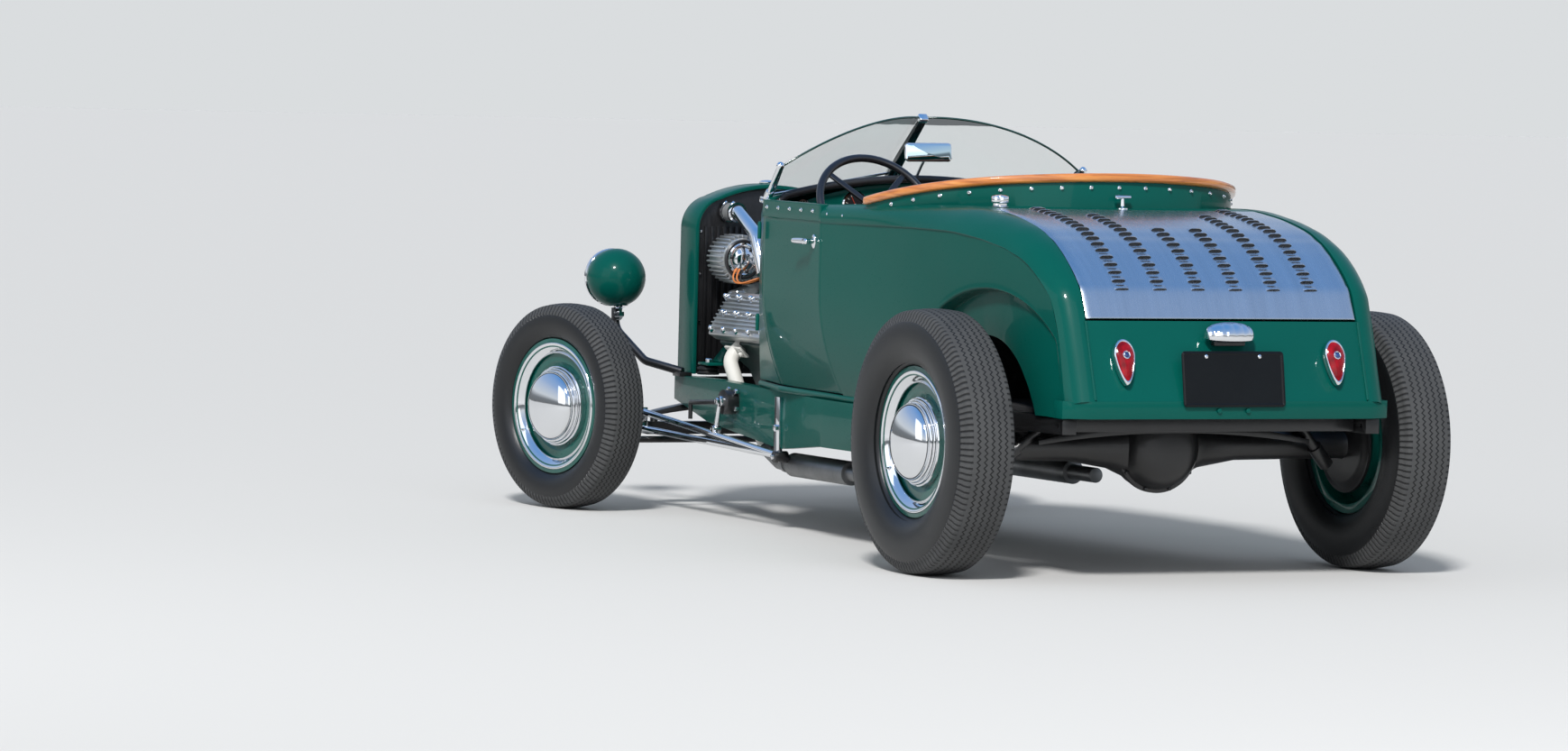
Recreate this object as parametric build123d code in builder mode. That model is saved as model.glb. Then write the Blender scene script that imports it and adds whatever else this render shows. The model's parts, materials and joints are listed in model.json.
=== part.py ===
from build123d import *
import os
from math import atan2, cos, degrees, radians, sin

os.makedirs("parts", exist_ok=True)

# Millimetres. +X runs to the front of the car, +Y to its left side and +Z up, with the road at Z = 0.
# The origin lies on the road under the middle of the whole car.

# Wheels, tyres and stance
wheelbase = 2692
rear_axle_x = -1283.05
rear_track = 1468
kingpin_y = 620
kingpin_offset = 98
rear_tyre_radius = 390
rear_tyre_width = 186
front_tyre_radius = 338
front_tyre_width = 156
rim_radius = 206
rim_lip = 16
rim_wall = 12
rim_width = 118
hub_cap_radius = 132
trim_ring_width = 34
drum_radius = 140
drum_depth = 56
spindle_radius = 16
spindle_gap = 1
parked_steer = 13.9
steering_arm = 130
pin_gap = 1

# Body shell
gap = 5
shell = 12
wall = 40
quarter_wall = 58
belt_step = 4
cowl_front = wheelbase - 792
door_front = wheelbase - 1132
door_rear = 1030
door_bottom = 470
belt_low = 998
belt_top = 1054
turn_under_from = 800
lid_half_width = 450
lid_thickness = 14
crown_front = 1100
crown_rear = 1132
cowl_corner = 70

# Frame
rail_thickness = 45
rail_top = 445
floor_thickness = 14
rear_floor = 484


def ahead(distance):
    """X of a point this far ahead of the rear axle."""
    return rear_axle_x + distance


front_axle_x = ahead(wheelbase)
front_gap = gap / 2


# Side of the body: half widths at the belt and at the sill.
# Columns: distance ahead of the rear axle, half width under the belt, half width at the sill.
side_stations = (
    (cowl_front, 392, 382),
    (door_front, 546, 470),
    (door_rear, 602, 515),
)


def half_widths(distance):
    """Half widths at the belt and sill, on the straight lines between the side stations."""
    front, rear = side_stations[0], side_stations[1]
    if distance < door_front:
        front, rear = side_stations[1], side_stations[2]
    share = (front[0] - distance) / (front[0] - rear[0])
    return tuple(a + share * (b - a) for a, b in zip(front[1:], rear[1:]))


def side_section(distance, low, high):
    """Closed section of a side wall with its turned-under foot and proud belt band."""
    belt, sill = half_widths(distance)
    with BuildSketch(Plane.YZ.offset(ahead(distance))) as section:
        with BuildLine():
            TangentArc((belt, turn_under_from), (sill, low), tangent=(0, -1))
            Line((sill, low), (sill - wall, low))
            Line((sill - wall, low), (belt - wall, turn_under_from))
            Line((belt - wall, turn_under_from), (belt - wall, high))
            Line((belt - wall, high), (belt + belt_step, high))
            Line((belt + belt_step, high), (belt + belt_step, belt_low + belt_step))
            Line((belt + belt_step, belt_low + belt_step), (belt, belt_low))
            Line((belt, belt_low), (belt, turn_under_from))
        make_face()
    return section.sketch


# Doors, hinged at their front edge on pins that stand just outside the skin
door_hinge_x = ahead(door_front)
door_hinge_y = side_stations[1][1] + belt_step + 9
hinge_pin_radius = 7
hinge_heights = (640, 930)
hinge_length = 50

with BuildPart() as door_left:
    loft([side_section(door_front - front_gap, door_bottom, belt_top),
          side_section(door_rear + front_gap, door_bottom, belt_top)], ruled=True)
    for hinge_z in hinge_heights:
        with BuildSketch(Plane.XY.offset(hinge_z)):
            with Locations((door_hinge_x, door_hinge_y)):
                Circle(hinge_pin_radius)
        extrude(amount=hinge_length)
        with BuildSketch(Plane.XY.offset(hinge_z)):
            with Locations((door_hinge_x - 22, door_hinge_y - 24)):
                Rectangle(38, 54)
        extrude(amount=hinge_length)
door_left.part.label = "door_left"

with BuildPart() as door_right:
    mirror(door_left.part, about=Plane.XZ)
door_right.part.label = "door_right"

# Door handles: a lever on an escutcheon near the rear edge of each door
handle_ahead = door_rear + 62
handle_z = 938
handle_skin = half_widths(handle_ahead)[0]

with BuildPart() as door_handle_left:
    with BuildSketch(Plane.XZ.offset(-handle_skin - 2)):
        with Locations((ahead(handle_ahead), handle_z)):
            Ellipse(13, 22)
    extrude(amount=-10)
    with BuildSketch(Plane.XZ.offset(-handle_skin - 5)):
        with Locations((ahead(handle_ahead), handle_z)):
            Circle(8)
    extrude(amount=-32)
    with BuildSketch(Plane.XZ.offset(-handle_skin - 28)):
        with Locations((ahead(handle_ahead) + 38, handle_z)):
            SlotOverall(112, 17)
    extrude(amount=-12)
door_handle_left.part.label = "door_handle_left"

with BuildPart() as door_handle_right:
    mirror(door_handle_left.part, about=Plane.XZ)
door_handle_right.part.label = "door_handle_right"


# Cowl: a hollow hoop with the firewall at its front and the dash at its rear
def cowl_section(distance, crown, inset):
    """Outline of the cowl, drawn in by inset for its inner face."""
    belt, sill = half_widths(distance)
    with BuildSketch(Plane.YZ.offset(ahead(distance))) as section:
        with BuildLine():
            TangentArc((belt - inset, turn_under_from), (sill - inset, door_bottom), tangent=(0, -1))
            Line((belt - inset, turn_under_from), (belt - inset, belt_top))
            ThreePointArc((belt - inset, belt_top), (0, crown - inset), (inset - belt, belt_top))
            Line((inset - belt, belt_top), (inset - belt, turn_under_from))
            TangentArc((inset - belt, turn_under_from), (inset - sill, door_bottom), tangent=(0, -1))
            Line((inset - sill, door_bottom), (sill - inset, door_bottom))
        make_face()
        fillet(section.vertices().filter_by_position(Axis.Z, belt_top - 1, belt_top + 1), cowl_corner - inset)
    return section.sketch


cowl_rear = door_front + front_gap
cowl_wall = 22
dash_low = 935
dash_thickness = 10
firewall = 12

with BuildPart() as cowl:
    loft([cowl_section(cowl_front, crown_front, 0), cowl_section(cowl_rear, crown_rear, 0)], ruled=True)
    loft([cowl_section(cowl_front - firewall, crown_front, cowl_wall),
          cowl_section(cowl_rear, crown_rear, cowl_wall)], ruled=True, mode=Mode.SUBTRACT)
    with BuildSketch(Plane.YZ.offset(ahead(cowl_rear + 24))):
        with BuildLine():
            dash_y = half_widths(cowl_rear + 24)[0] - cowl_wall + 3
            Line((-dash_y, dash_low), (dash_y, dash_low))
            Line((dash_y, dash_low), (dash_y, belt_low))
            ThreePointArc((dash_y, belt_low), (0, crown_rear - cowl_wall + 4), (-dash_y, belt_low))
            Line((-dash_y, belt_low), (-dash_y, dash_low))
        make_face()
    extrude(amount=dash_thickness)
cowl.part.label = "cowl"

# Rear body. The deck is single-curved across the lid and rolls off to a crease at each side.
# Columns: ahead of the rear axle, height, tilt in degrees, half width where the roll starts,
# half width at the crease, drop of the crease along the tilted normal.
roll_stations = (
    (door_rear - front_gap, belt_top, 0, 568, 606, 56),
    (600, 1068, 0, 545, 602, 64),
    (282, 1075, 0, 480, 590, 72),
    (185, 1071, 4.5, 472, 584, 71),
    (90, 1060.5, 7, 465, 578, 69),
    (22, 1051, 10, 464, 571, 68),
    (-44, 1038, 13, 463, 565, 66.5),
    (-108, 1023, 18, 462, 558, 64),
    (-160, 1004, 23.5, 462, 555, 60),
    (-205, 984, 30, 462, 552, 54),
    (-251, 957, 35, 462, 548, 49),
    (-295, 925, 41, 462, 544, 46),
    (-337, 888, 46, 462, 539, 44),
    (-370, 851, 55, 462, 534, 42),
    (-392, 803, 66, 462, 530, 41),
    (-430, 697, 72, 462, 528, 40),
    (-483, 535, 72, 462, 531, 50),
)
seam = lid_half_width + gap


def roll_section(station):
    """Section of the rolled panel across a plane that stands square to the deck."""
    distance, height, tilt, flat_to, crease, drop = station
    normal = (-sin(radians(tilt)), 0, cos(radians(tilt)))
    plane = Plane(origin=(ahead(distance), 0, height), x_dir=(0, 1, 0),
                  z_dir=Vector(0, 1, 0).cross(Vector(*normal)))
    with BuildSketch(plane) as section:
        with BuildLine():
            Line((seam, 0), (flat_to, 0))
            TangentArc((flat_to, 0), (crease, -drop), tangent=(1, 0))
            Line((crease, -drop), (crease - shell, -drop - shell))
            TangentArc((flat_to, -shell), (crease - shell, -drop - shell), tangent=(1, 0))
            Line((flat_to, -shell), (seam, -shell))
            Line((seam, -shell), (seam, 0))
        make_face()
    return section.sketch


# Cockpit rim: its plan is a chain of arcs from the rear centre round to the front end on the left
rim_rear = 245
# Columns: radius, turn in degrees
rim_arcs = ((810, 25), (400, 45), (595, 20))
rim_slope = degrees(atan2(0.18, 1))
rim_front_height = 1085
rim_front = 752
wood_width = 42
wood_thickness = 25
collar_thickness = 14


def rim_curve(grow):
    """The left half of the cockpit's plan curve, moved out by grow: its edges and front end."""
    edges = []
    start = (ahead(rim_rear) - grow, 0)
    tangent = (0, 1)
    for radius, turn in rim_arcs:
        edges.append(JernArc(start=start, tangent=tangent, radius=radius + grow, arc_size=-turn))
        start = edges[-1] @ 1
        tangent = edges[-1] % 1
    return start


def rim_band(inner, outer):
    """Half of a band that follows the cockpit's plan curve."""
    with BuildSketch() as band:
        with BuildLine():
            inner_end = rim_curve(inner)
            outer_end = rim_curve(outer)
            Line(inner_end, outer_end)
            Line((ahead(rim_rear) - inner, 0), (ahead(rim_rear) - outer, 0))
        make_face()
    return band.sketch


with BuildPart(mode=Mode.PRIVATE) as cockpit_cut:
    with BuildSketch(Plane.XY.offset(belt_low - 60)):
        with BuildLine():
            cut_end = rim_curve(-collar_thickness / 2)
            Line(cut_end, (ahead(door_rear), cut_end.Y))
            Line((ahead(door_rear), cut_end.Y), (ahead(door_rear), 0))
            Line((ahead(door_rear), 0), (ahead(rim_rear) + collar_thickness / 2, 0))
        make_face()
    extrude(amount=400)
    mirror(about=Plane.XZ)

# Side wall of the quarter, under the crease.
# Columns: ahead of the rear axle, half width at the crease, half width at the foot.
wall_stations = (
    (door_rear - front_gap, 602, 502),
    (450, 594, 518),
    (0, 564, 536),
    (-340, 531, 542),
    (-440, 524, 530),
)
quarter_foot = rail_top + 3
pan_low = rear_floor


def wall_section(station):
    """Section of the quarter's side wall."""
    distance, top, foot = station
    with BuildSketch(Plane.YZ.offset(ahead(distance))) as section:
        with BuildLine():
            TangentArc((top, turn_under_from), (foot, quarter_foot), tangent=(0, -1))
            Polyline((foot, quarter_foot), (foot - quarter_wall, quarter_foot),
                     (top - quarter_wall, turn_under_from), (top - quarter_wall, belt_low), (top, belt_low),
                     (top, turn_under_from))
        make_face()
    return section.sketch


arch_x = ahead(52)
arch_z = 348
arch_radius = 354
recess_x = ahead(-10)
recess_z = 280
recess_radius = 562
recess_floor = 538

with BuildPart(mode=Mode.PRIVATE) as above_crease:
    with BuildSketch(Plane.XZ):
        with BuildLine():
            crease = [
                (ahead(d + drop * sin(radians(t))), h - drop * cos(radians(t)) - shell / 2)
                for d, h, t, _, _, drop in roll_stations
            ]
            Polyline((ahead(door_rear + 50), crease[0][1]), *crease, (crease[-1][0] - 5, 400),
                     (ahead(-700), 400), (ahead(-700), 1300), (ahead(door_rear + 50), 1300), close=True)
        make_face()
    extrude(amount=700, both=True)

with BuildPart() as rolled_edge:
    loft([roll_section(station) for station in roll_stations], ruled=True)
    add(cockpit_cut.part, mode=Mode.SUBTRACT)

with BuildPart() as quarter_panel:
    loft([wall_section(station) for station in wall_stations], ruled=True)
    add(above_crease.part, mode=Mode.SUBTRACT)
    with BuildSketch(Plane.XZ):
        with Locations((arch_x, arch_z)):
            Circle(arch_radius)
    extrude(amount=-700, mode=Mode.SUBTRACT)
    with BuildSketch(Plane.XZ.offset(-recess_floor)):
        with Locations((recess_x, recess_z)):
            Circle(recess_radius)
    extrude(amount=-200, mode=Mode.SUBTRACT)
    with BuildSketch(Plane.XY.offset(quarter_foot - 10)):
        with Locations((ahead(-300), 520)):
            Rectangle(500, 120)
    extrude(amount=pan_low + 1 - quarter_foot + 10, mode=Mode.SUBTRACT)
    add(rolled_edge.part)

with BuildPart() as quarter_panels:
    add(quarter_panel.part)
    mirror(quarter_panel.part, about=Plane.XZ)
quarter_panels.part.label = "quarter_panels"

# Deck profile at the centre, shared by the lid, the strip ahead of it and the tail under it.
# Columns: ahead of the rear axle, height.
deck_profile = ((300, 1075), (185, 1071), (53, 1056), (-76, 1031), (-167, 1001),
                (-251, 957), (-325, 899), (-370, 851), (-406, 772), (-481, 539))
lid_front = 185
lid_front_z = 1071
lid_hinge = -406
lid_hinge_z = 772


def deck_strip(points, thickness):
    """Side outline of a sheet that follows points on the deck, thickened inwards."""
    outer = [Vector(ahead(x), z) for x, z in points]
    inner = []
    for i, point in enumerate(outer):
        before = outer[max(i - 1, 0)]
        after = outer[min(i + 1, len(outer) - 1)]
        along = (after - before).normalized()
        inner.append(point + Vector(-along.Y, along.X) * thickness)
    return [*outer, *reversed(inner)]


with BuildPart() as deck_lid:
    with BuildSketch(Plane.XZ.offset(-lid_half_width)):
        with BuildLine():
            Polyline(*deck_strip([p for p in deck_profile if lid_hinge <= p[0] <= lid_front], lid_thickness),
                     close=True)
        make_face()
    extrude(amount=2 * lid_half_width)
deck_lid.part.label = "deck_lid"

# Collar round the rear of the cockpit, with the strip of deck between it and the lid
rim_plane_low = Plane(origin=(ahead(rim_front), 0, rim_front_height - wood_thickness),
                      x_dir=(cos(radians(rim_slope)), 0, -sin(radians(rim_slope))),
                      z_dir=(sin(radians(rim_slope)), 0, cos(radians(rim_slope))))
rim_plane_high = rim_plane_low.offset(wood_thickness)

with BuildPart() as collar:
    extrude(rim_band(-collar_thickness / 2, collar_thickness / 2), amount=1400)
    mirror(about=Plane.XZ)
    split(bisect_by=rim_plane_low, keep=Keep.BOTTOM)
    split(bisect_by=Plane.XY.offset(belt_top - 6), keep=Keep.TOP)
    with BuildSketch(Plane.XZ.offset(-seam + 1)):
        with BuildLine():
            Polyline((ahead(lid_front + gap), lid_front_z), (ahead(300), 1075), (ahead(300), 1075 - shell),
                     (ahead(lid_front + gap), lid_front_z - shell), close=True)
        make_face()
    extrude(amount=2 * (seam - 1))
    add(quarter_panels.part, mode=Mode.SUBTRACT)
    add(cockpit_cut.part, mode=Mode.SUBTRACT)
collar_solid = collar.part.solids().sort_by(SortBy.VOLUME)[-1]

with BuildPart() as collar_piece:
    add(collar_solid)
collar_piece.part.label = "collar"

with BuildPart() as wood_rail:
    extrude(rim_band(-wood_width / 2, wood_width / 2), amount=1400)
    mirror(about=Plane.XZ)
    split(bisect_by=rim_plane_high, keep=Keep.BOTTOM)
    split(bisect_by=rim_plane_low, keep=Keep.TOP)
wood_rail.part.label = "wood_rail"

# Tail panel under the lid, and the rolled pan below it
pan_high = 535
pan_corner = 549
pan_corner_x = ahead(-406)
tail_foot = -481
pan_rear_x = ahead(tail_foot - 3)

with BuildPart() as tail_panel:
    with BuildSketch(Plane.XZ.offset(-seam + 1)):
        with BuildLine():
            Polyline((ahead(lid_hinge - 2), lid_hinge_z - 7), (ahead(tail_foot), pan_high),
                     (ahead(tail_foot + shell), pan_high), (ahead(lid_hinge - 2 + shell), lid_hinge_z - 9),
                     close=True)
        make_face()
    extrude(amount=2 * (seam - 1))
    with BuildSketch(Plane.XY.offset(pan_low)):
        with BuildLine():
            Polyline((pan_corner_x, pan_corner), (pan_corner_x - 40, pan_corner - 6), (pan_rear_x, 466),
                     (pan_rear_x, -466), (pan_corner_x - 40, 6 - pan_corner), (pan_corner_x, -pan_corner),
                     (pan_corner_x, shell - pan_corner), (pan_corner_x - 34, 6 + shell - pan_corner),
                     (pan_rear_x + shell, -460), (pan_rear_x + shell, 460),
                     (pan_corner_x - 34, pan_corner - 6 - shell), (pan_corner_x, pan_corner - shell),
                     close=True)
        make_face()
    extrude(amount=pan_high - pan_low)
    add(quarter_panels.part, mode=Mode.SUBTRACT)
tail_panel.part.label = "tail_panel"

# Frame rails: side outline cut to a plan that widens towards the doors
# Columns: ahead of the rear axle, height of the underside.
rail_front = wheelbase + 33
rail_underside = ((rail_front, 358), (wheelbase - 342, 302), (door_front + 40, 263), (door_front - 360, 297),
                  (480, 300), (300, 432), (-425, 436))
rail_upper = ((-425, 480), (300, 480), (385, rail_top), (wheelbase - 392, rail_top), (rail_front, 436))
# Columns: ahead of the rear axle, half width of the outer face.
rail_plan = ((rail_front, 300), (door_front + 40, 450), (door_front - 410, 520), (200, 534), (-425, 530))
bumper_bolt_radius = 6.5
bumper_bolt_z = 398
bumper_bolt_depth = 40
rear_bolt = (-395, 458)

with BuildPart() as rail:
    with BuildSketch(Plane.XZ):
        with BuildLine():
            Polyline(*[(ahead(x), z) for x, z in rail_underside + rail_upper], close=True)
        make_face()
    extrude(amount=-700)
    with BuildSketch(Plane.XY):
        with BuildLine():
            Polyline(*[(ahead(x), y) for x, y in rail_plan],
                     *[(ahead(x), y - rail_thickness) for x, y in reversed(rail_plan)], close=True)
        make_face()
    extrude(amount=800, mode=Mode.INTERSECT)
    with BuildSketch(Plane.XZ):
        with Locations((ahead(rear_bolt[0]), rear_bolt[1])):
            Circle(bumper_bolt_radius)
    extrude(amount=-700, mode=Mode.SUBTRACT)
    with BuildSketch(Plane.YZ.offset(ahead(rail_front))):
        with Locations((rail_plan[0][1] - rail_thickness / 2, bumper_bolt_z)):
            Circle(bumper_bolt_radius)
    extrude(amount=-bumper_bolt_depth, mode=Mode.SUBTRACT)

with BuildPart() as frame_rails:
    add(rail.part)
    mirror(rail.part, about=Plane.XZ)
frame_rails.part.label = "frame_rails"

# Crossmembers between the rails. Columns: ahead, half width, low, high, length along X
members = (
    (wheelbase - 20, 262, 373, 434, 40),
    (door_front - 60, 416, 330, 420, 90),
    (420, 470, 360, 440, 70),
    (-150, 480, 470, 480, 70),
    (-345, 480, 440, 478, 40),
)

with BuildPart() as crossmembers:
    for distance, half_width, low, high, length in members:
        with BuildSketch(Plane.XY.offset(low)):
            with Locations((ahead(distance), 0)):
                Rectangle(length, 2 * half_width)
        extrude(amount=high - low)
    add(frame_rails.part, mode=Mode.SUBTRACT)
crossmembers.part.label = "crossmembers"

# Floor with the bulkhead behind the seat and the trunk floor
bulkhead_x = 330
bulkhead_top = 1040

with BuildPart() as floor:
    with BuildSketch(Plane.XY.offset(rail_top)):
        with BuildLine():
            Polyline((ahead(cowl_front - firewall), 378), (ahead(door_front), 468), (ahead(door_rear), 500),
                     (ahead(470), 484), (ahead(470), -484), (ahead(door_rear), -500),
                     (ahead(door_front), -468), (ahead(cowl_front - firewall), -378), close=True)
        make_face()
    extrude(amount=door_bottom - gap - rail_top)
    with BuildSketch(Plane.XZ.offset(-480)):
        with BuildLine():
            Polyline((ahead(470), rail_top + 1), (ahead(480), door_bottom - gap),
                     (ahead(bulkhead_x + shell), rear_floor + floor_thickness),
                     (ahead(-440), rear_floor + floor_thickness), (ahead(-440), rear_floor),
                     (ahead(bulkhead_x), rear_floor), close=True)
        make_face()
    extrude(amount=960)
    with BuildSketch(Plane.YZ.offset(ahead(bulkhead_x))):
        with Locations((0, (rear_floor + bulkhead_top) / 2)):
            Rectangle(2 * 500, bulkhead_top - rear_floor)
    extrude(amount=shell)
    add(quarter_panels.part, mode=Mode.SUBTRACT)
    add(frame_rails.part, mode=Mode.SUBTRACT)
floor_solid = floor.part.solids().sort_by(SortBy.VOLUME)[-1]

with BuildPart() as floor_piece:
    add(floor_solid)
floor_piece.part.label = "floor"

# Bench seat
seat_side_gap = 62
seat_half_width = wall_stations[0][1] - quarter_wall - seat_side_gap
seat_base_inset = 44
cushion_low = 600
cushion_high = 745

with BuildPart() as seat_cushion:
    with BuildSketch(Plane.XY.offset(cushion_low)):
        with Locations((ahead(840), 0)):
            Rectangle(480, 2 * seat_half_width)
    extrude(amount=cushion_high - cushion_low)
    fillet(seat_cushion.edges(), 30)
seat_cushion.part.label = "seat_cushion"

seat_back_plane = Plane(origin=(ahead(545), 0, 735), x_dir=(cos(radians(14)), 0, sin(radians(14))),
                        z_dir=(-sin(radians(14)), 0, cos(radians(14))))
with BuildPart() as seat_back:
    with BuildSketch(seat_back_plane):
        Rectangle(120, 2 * seat_half_width)
    extrude(amount=330)
    fillet(seat_back.edges(), 30)
seat_back.part.label = "seat_back"

with BuildPart() as seat_base:
    with BuildSketch(Plane.XY.offset(door_bottom - gap)):
        with Locations((ahead(760), 0)):
            Rectangle(500, 2 * (seat_half_width - seat_base_inset))
    extrude(amount=cushion_low - 1 - door_bottom + gap)
seat_base.part.label = "seat_base"

# Windscreen: a centre post and two side posts, raked back, with a pane on each side
centre_foot = Vector(ahead(door_front + 218), 0, 1112)
centre_top = Vector(ahead(door_front - 21), 0, 1323)
side_foot = Vector(ahead(door_front + 46), 512, 1058)
side_top = Vector(ahead(door_front - 97), 539, 1161)
glass_thickness = 6


def bar(start, end, radius):
    """A round bar from start to end."""
    along = end - start
    with BuildPart(mode=Mode.PRIVATE) as rod:
        with BuildSketch(Plane(origin=start, z_dir=along)):
            Circle(radius)
        extrude(amount=along.length)
    return rod.part


with BuildPart() as windscreen_posts:
    add(bar(centre_foot, centre_top, 11))
    add(bar(side_foot, side_top, 9))
    add(bar(Vector(side_foot.X, -side_foot.Y, side_foot.Z), Vector(side_top.X, -side_top.Y, side_top.Z), 9))
    add(cowl.part, mode=Mode.SUBTRACT)
windscreen_posts.part.label = "windscreen_posts"

pane_foot = Vector(ahead(door_front + 212), 14, 1142)
pane_outer_foot = Vector(ahead(door_front + 38), 496, 1074)
pane_outer_top = Vector(ahead(door_front - 90), 525, 1163)
pane_top = Vector(ahead(door_front - 15), 14, 1322)
pane_normal = (pane_top - pane_foot).cross(pane_outer_foot - pane_foot)
pane_plane = Plane(origin=pane_foot, x_dir=pane_outer_foot - pane_foot, z_dir=pane_normal)

with BuildPart() as pane:
    corners = [pane_plane.to_local_coords(p) for p in (pane_foot, pane_outer_foot, pane_outer_top, pane_top)]
    flat = [Vector(c.X, c.Y) for c in corners]
    middle = (flat[2] + flat[3]) * 0.5
    chord = (flat[3] - flat[2]).normalized()
    bulge = middle + Vector(-chord.Y, chord.X) * (-70 if flat[3].Y > 0 else 70)
    with BuildSketch(pane_plane):
        with BuildLine():
            Line(flat[0], flat[1])
            Line(flat[1], flat[2])
            ThreePointArc(flat[2], bulge, flat[3])
            Line(flat[3], flat[0])
        make_face()
    extrude(amount=glass_thickness / 2, both=True)
    add(windscreen_posts.part, mode=Mode.SUBTRACT)
    add(cowl.part, mode=Mode.SUBTRACT)
with BuildPart() as windscreen_glass:
    add(pane.part)
    mirror(pane.part, about=Plane.XZ)
windscreen_glass.part.label = "windscreen_glass"

# Mirror on a stalk from the top of the dash
with BuildPart() as rear_view_mirror:
    with BuildSketch(Plane.YZ.offset(ahead(door_front - 70))):
        with Locations((0, 1212)):
            RectangleRounded(158, 60, 14)
    extrude(amount=16)
    add(bar(Vector(ahead(door_front - 60), 0, 1212), Vector(ahead(door_front + 30), 0, 1120), 5))
    add(cowl.part, mode=Mode.SUBTRACT)
rear_view_mirror.part.label = "rear_view_mirror"

# Steering column and wheel
wheel_centre = Vector(ahead(door_front - 365), 330, 1040)
column_rake = 35
column_axis = Vector(-cos(radians(column_rake)), 0, sin(radians(column_rake)))
steering_wheel_radius = 190
grip_radius = 12

with BuildPart() as steering_column:
    add(bar(wheel_centre - column_axis * 42, wheel_centre - column_axis * 1010, 19))
    add(cowl.part, mode=Mode.SUBTRACT)
    add(floor_piece.part, mode=Mode.SUBTRACT)
column_solid = steering_column.part.solids().sort_by(SortBy.VOLUME)[-1]

with BuildPart() as steering_column_piece:
    add(column_solid)
steering_column_piece.part.label = "steering_column"

with BuildPart() as steering_wheel:
    with BuildSketch(Plane(origin=wheel_centre, x_dir=(0, 1, 0), z_dir=column_axis)) as spokes:
        Circle(34)
        with PolarLocations(0, 4, start_angle=45):
            with Locations((steering_wheel_radius / 2, 0)):
                Rectangle(steering_wheel_radius, 20)
    extrude(amount=-10)
    with BuildSketch(Plane(origin=wheel_centre, x_dir=(0, 1, 0), z_dir=column_axis)):
        Circle(26)
    extrude(amount=-36)
    with BuildSketch(Plane(origin=wheel_centre, x_dir=column_axis, z_dir=(0, 1, 0))):
        with Locations((-4, steering_wheel_radius)):
            Circle(grip_radius)
    revolve(axis=Axis(wheel_centre, column_axis), revolution_arc=360)
steering_wheel.part.label = "steering_wheel"

# Engine
engine_rear = cowl_front + 35
with BuildPart() as engine_block:
    with BuildSketch(Plane.YZ.offset(ahead(engine_rear))):
        with BuildLine():
            Polyline((-95, 360), (95, 360), (150, 470), (262, 560), (175, 700), (60, 760), (-60, 760),
                     (-175, 700), (-262, 560), (-150, 470), close=True)
        make_face()
    extrude(amount=540)
engine_block.part.label = "engine_block"

head_face = Plane(origin=(ahead(engine_rear + 10), 225, 637), x_dir=(1, 0, 0), z_dir=(0, 0.85, 0.52))
with BuildPart() as head:
    with BuildSketch(head_face):
        with Locations((265, 0)):
            Rectangle(530, 165)
    extrude(amount=40)
    with BuildSketch(head_face.offset(40)):
        with Locations((265, 0)):
            with GridLocations(0, 15, 1, 9):
                Rectangle(500, 6)
    extrude(amount=14)
    add(engine_block.part, mode=Mode.SUBTRACT)
with BuildPart() as cylinder_heads:
    add(head.part)
    mirror(head.part, about=Plane.XZ)
cylinder_heads.part.label = "cylinder_heads"

with BuildPart() as intake_and_carburettors:
    with BuildSketch(Plane.XY.offset(760)):
        with Locations((ahead(engine_rear + 265), 0)):
            RectangleRounded(360, 110, 20)
    extrude(amount=50)
    for carburettor_x in (engine_rear + 175, engine_rear + 355):
        with BuildSketch(Plane.XY.offset(810)):
            with Locations((ahead(carburettor_x), 0)):
                Circle(42)
        extrude(amount=70)
        with BuildSketch(Plane.XY.offset(880)):
            with Locations((ahead(carburettor_x), 0)):
                Circle(62)
        extrude(amount=60)
intake_and_carburettors.part.label = "intake_and_carburettors"

# Finned generator high on the left of the engine
generator_y = 190
generator_z = 833
generator_radius = 80
fin_depth = 12
with BuildPart() as generator:
    with BuildSketch(Plane.YZ.offset(ahead(engine_rear + 515))):
        with Locations((generator_y, generator_z)):
            Circle(generator_radius - fin_depth)
            with PolarLocations(generator_radius - fin_depth / 2 - 2, 30):
                Rectangle(fin_depth + 4, 6)
    extrude(amount=112)
    with BuildSketch(Plane.YZ.offset(ahead(engine_rear + 499))):
        with Locations((generator_y, generator_z)):
            Circle(50)
    extrude(amount=20)
    with BuildSketch(Plane.XY.offset(725)):
        with Locations((ahead(engine_rear + 571), 120)):
            Rectangle(60, 70)
    extrude(amount=90)
generator.part.label = "generator"

# Water pump with its pulley and fan hub
with BuildPart() as water_pumps:
    for side in (1, -1):
        with BuildSketch(Plane.YZ.offset(ahead(engine_rear + 540))):
            with Locations((side * 150, 700)):
                Circle(46)
        extrude(amount=70)
    with BuildSketch(Plane.YZ.offset(ahead(engine_rear + 540))):
        with Locations((0, 470)):
            Circle(80)
    extrude(amount=40)
    add(generator.part, mode=Mode.SUBTRACT)
water_pumps.part.label = "water_pumps"

# Exhaust: an elbow from each side of the block, a pipe under the rail and a short silencer
exhaust_radius = 24
silencer_radius = 38
with BuildPart() as exhaust_side:
    with BuildLine() as pipe_line:
        FilletPolyline((ahead(engine_rear + 395), 240, 560), (ahead(engine_rear + 395), 288, 510),
                       (ahead(engine_rear + 305), 288, 400),
                       (ahead(engine_rear + 65), 296, 232), (ahead(engine_rear - 195), 380, 212),
                       (ahead(engine_rear - 335), 392, 212),
                       radius=50)
    with BuildSketch(Plane(origin=pipe_line.line @ 0, z_dir=pipe_line.line % 0)):
        Circle(exhaust_radius)
    sweep(path=pipe_line.line)
    with BuildSketch(Plane.YZ.offset(ahead(engine_rear - 735))):
        with Locations((392, 212)):
            Circle(silencer_radius)
    extrude(amount=410)
    with BuildSketch(Plane.YZ.offset(ahead(engine_rear - 885))):
        with Locations((392, 212)):
            Circle(exhaust_radius)
    extrude(amount=160)
    add(engine_block.part, mode=Mode.SUBTRACT)
with BuildPart() as exhaust:
    add(exhaust_side.part)
    mirror(exhaust_side.part, about=Plane.XZ)
exhaust.part.label = "exhaust"

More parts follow.
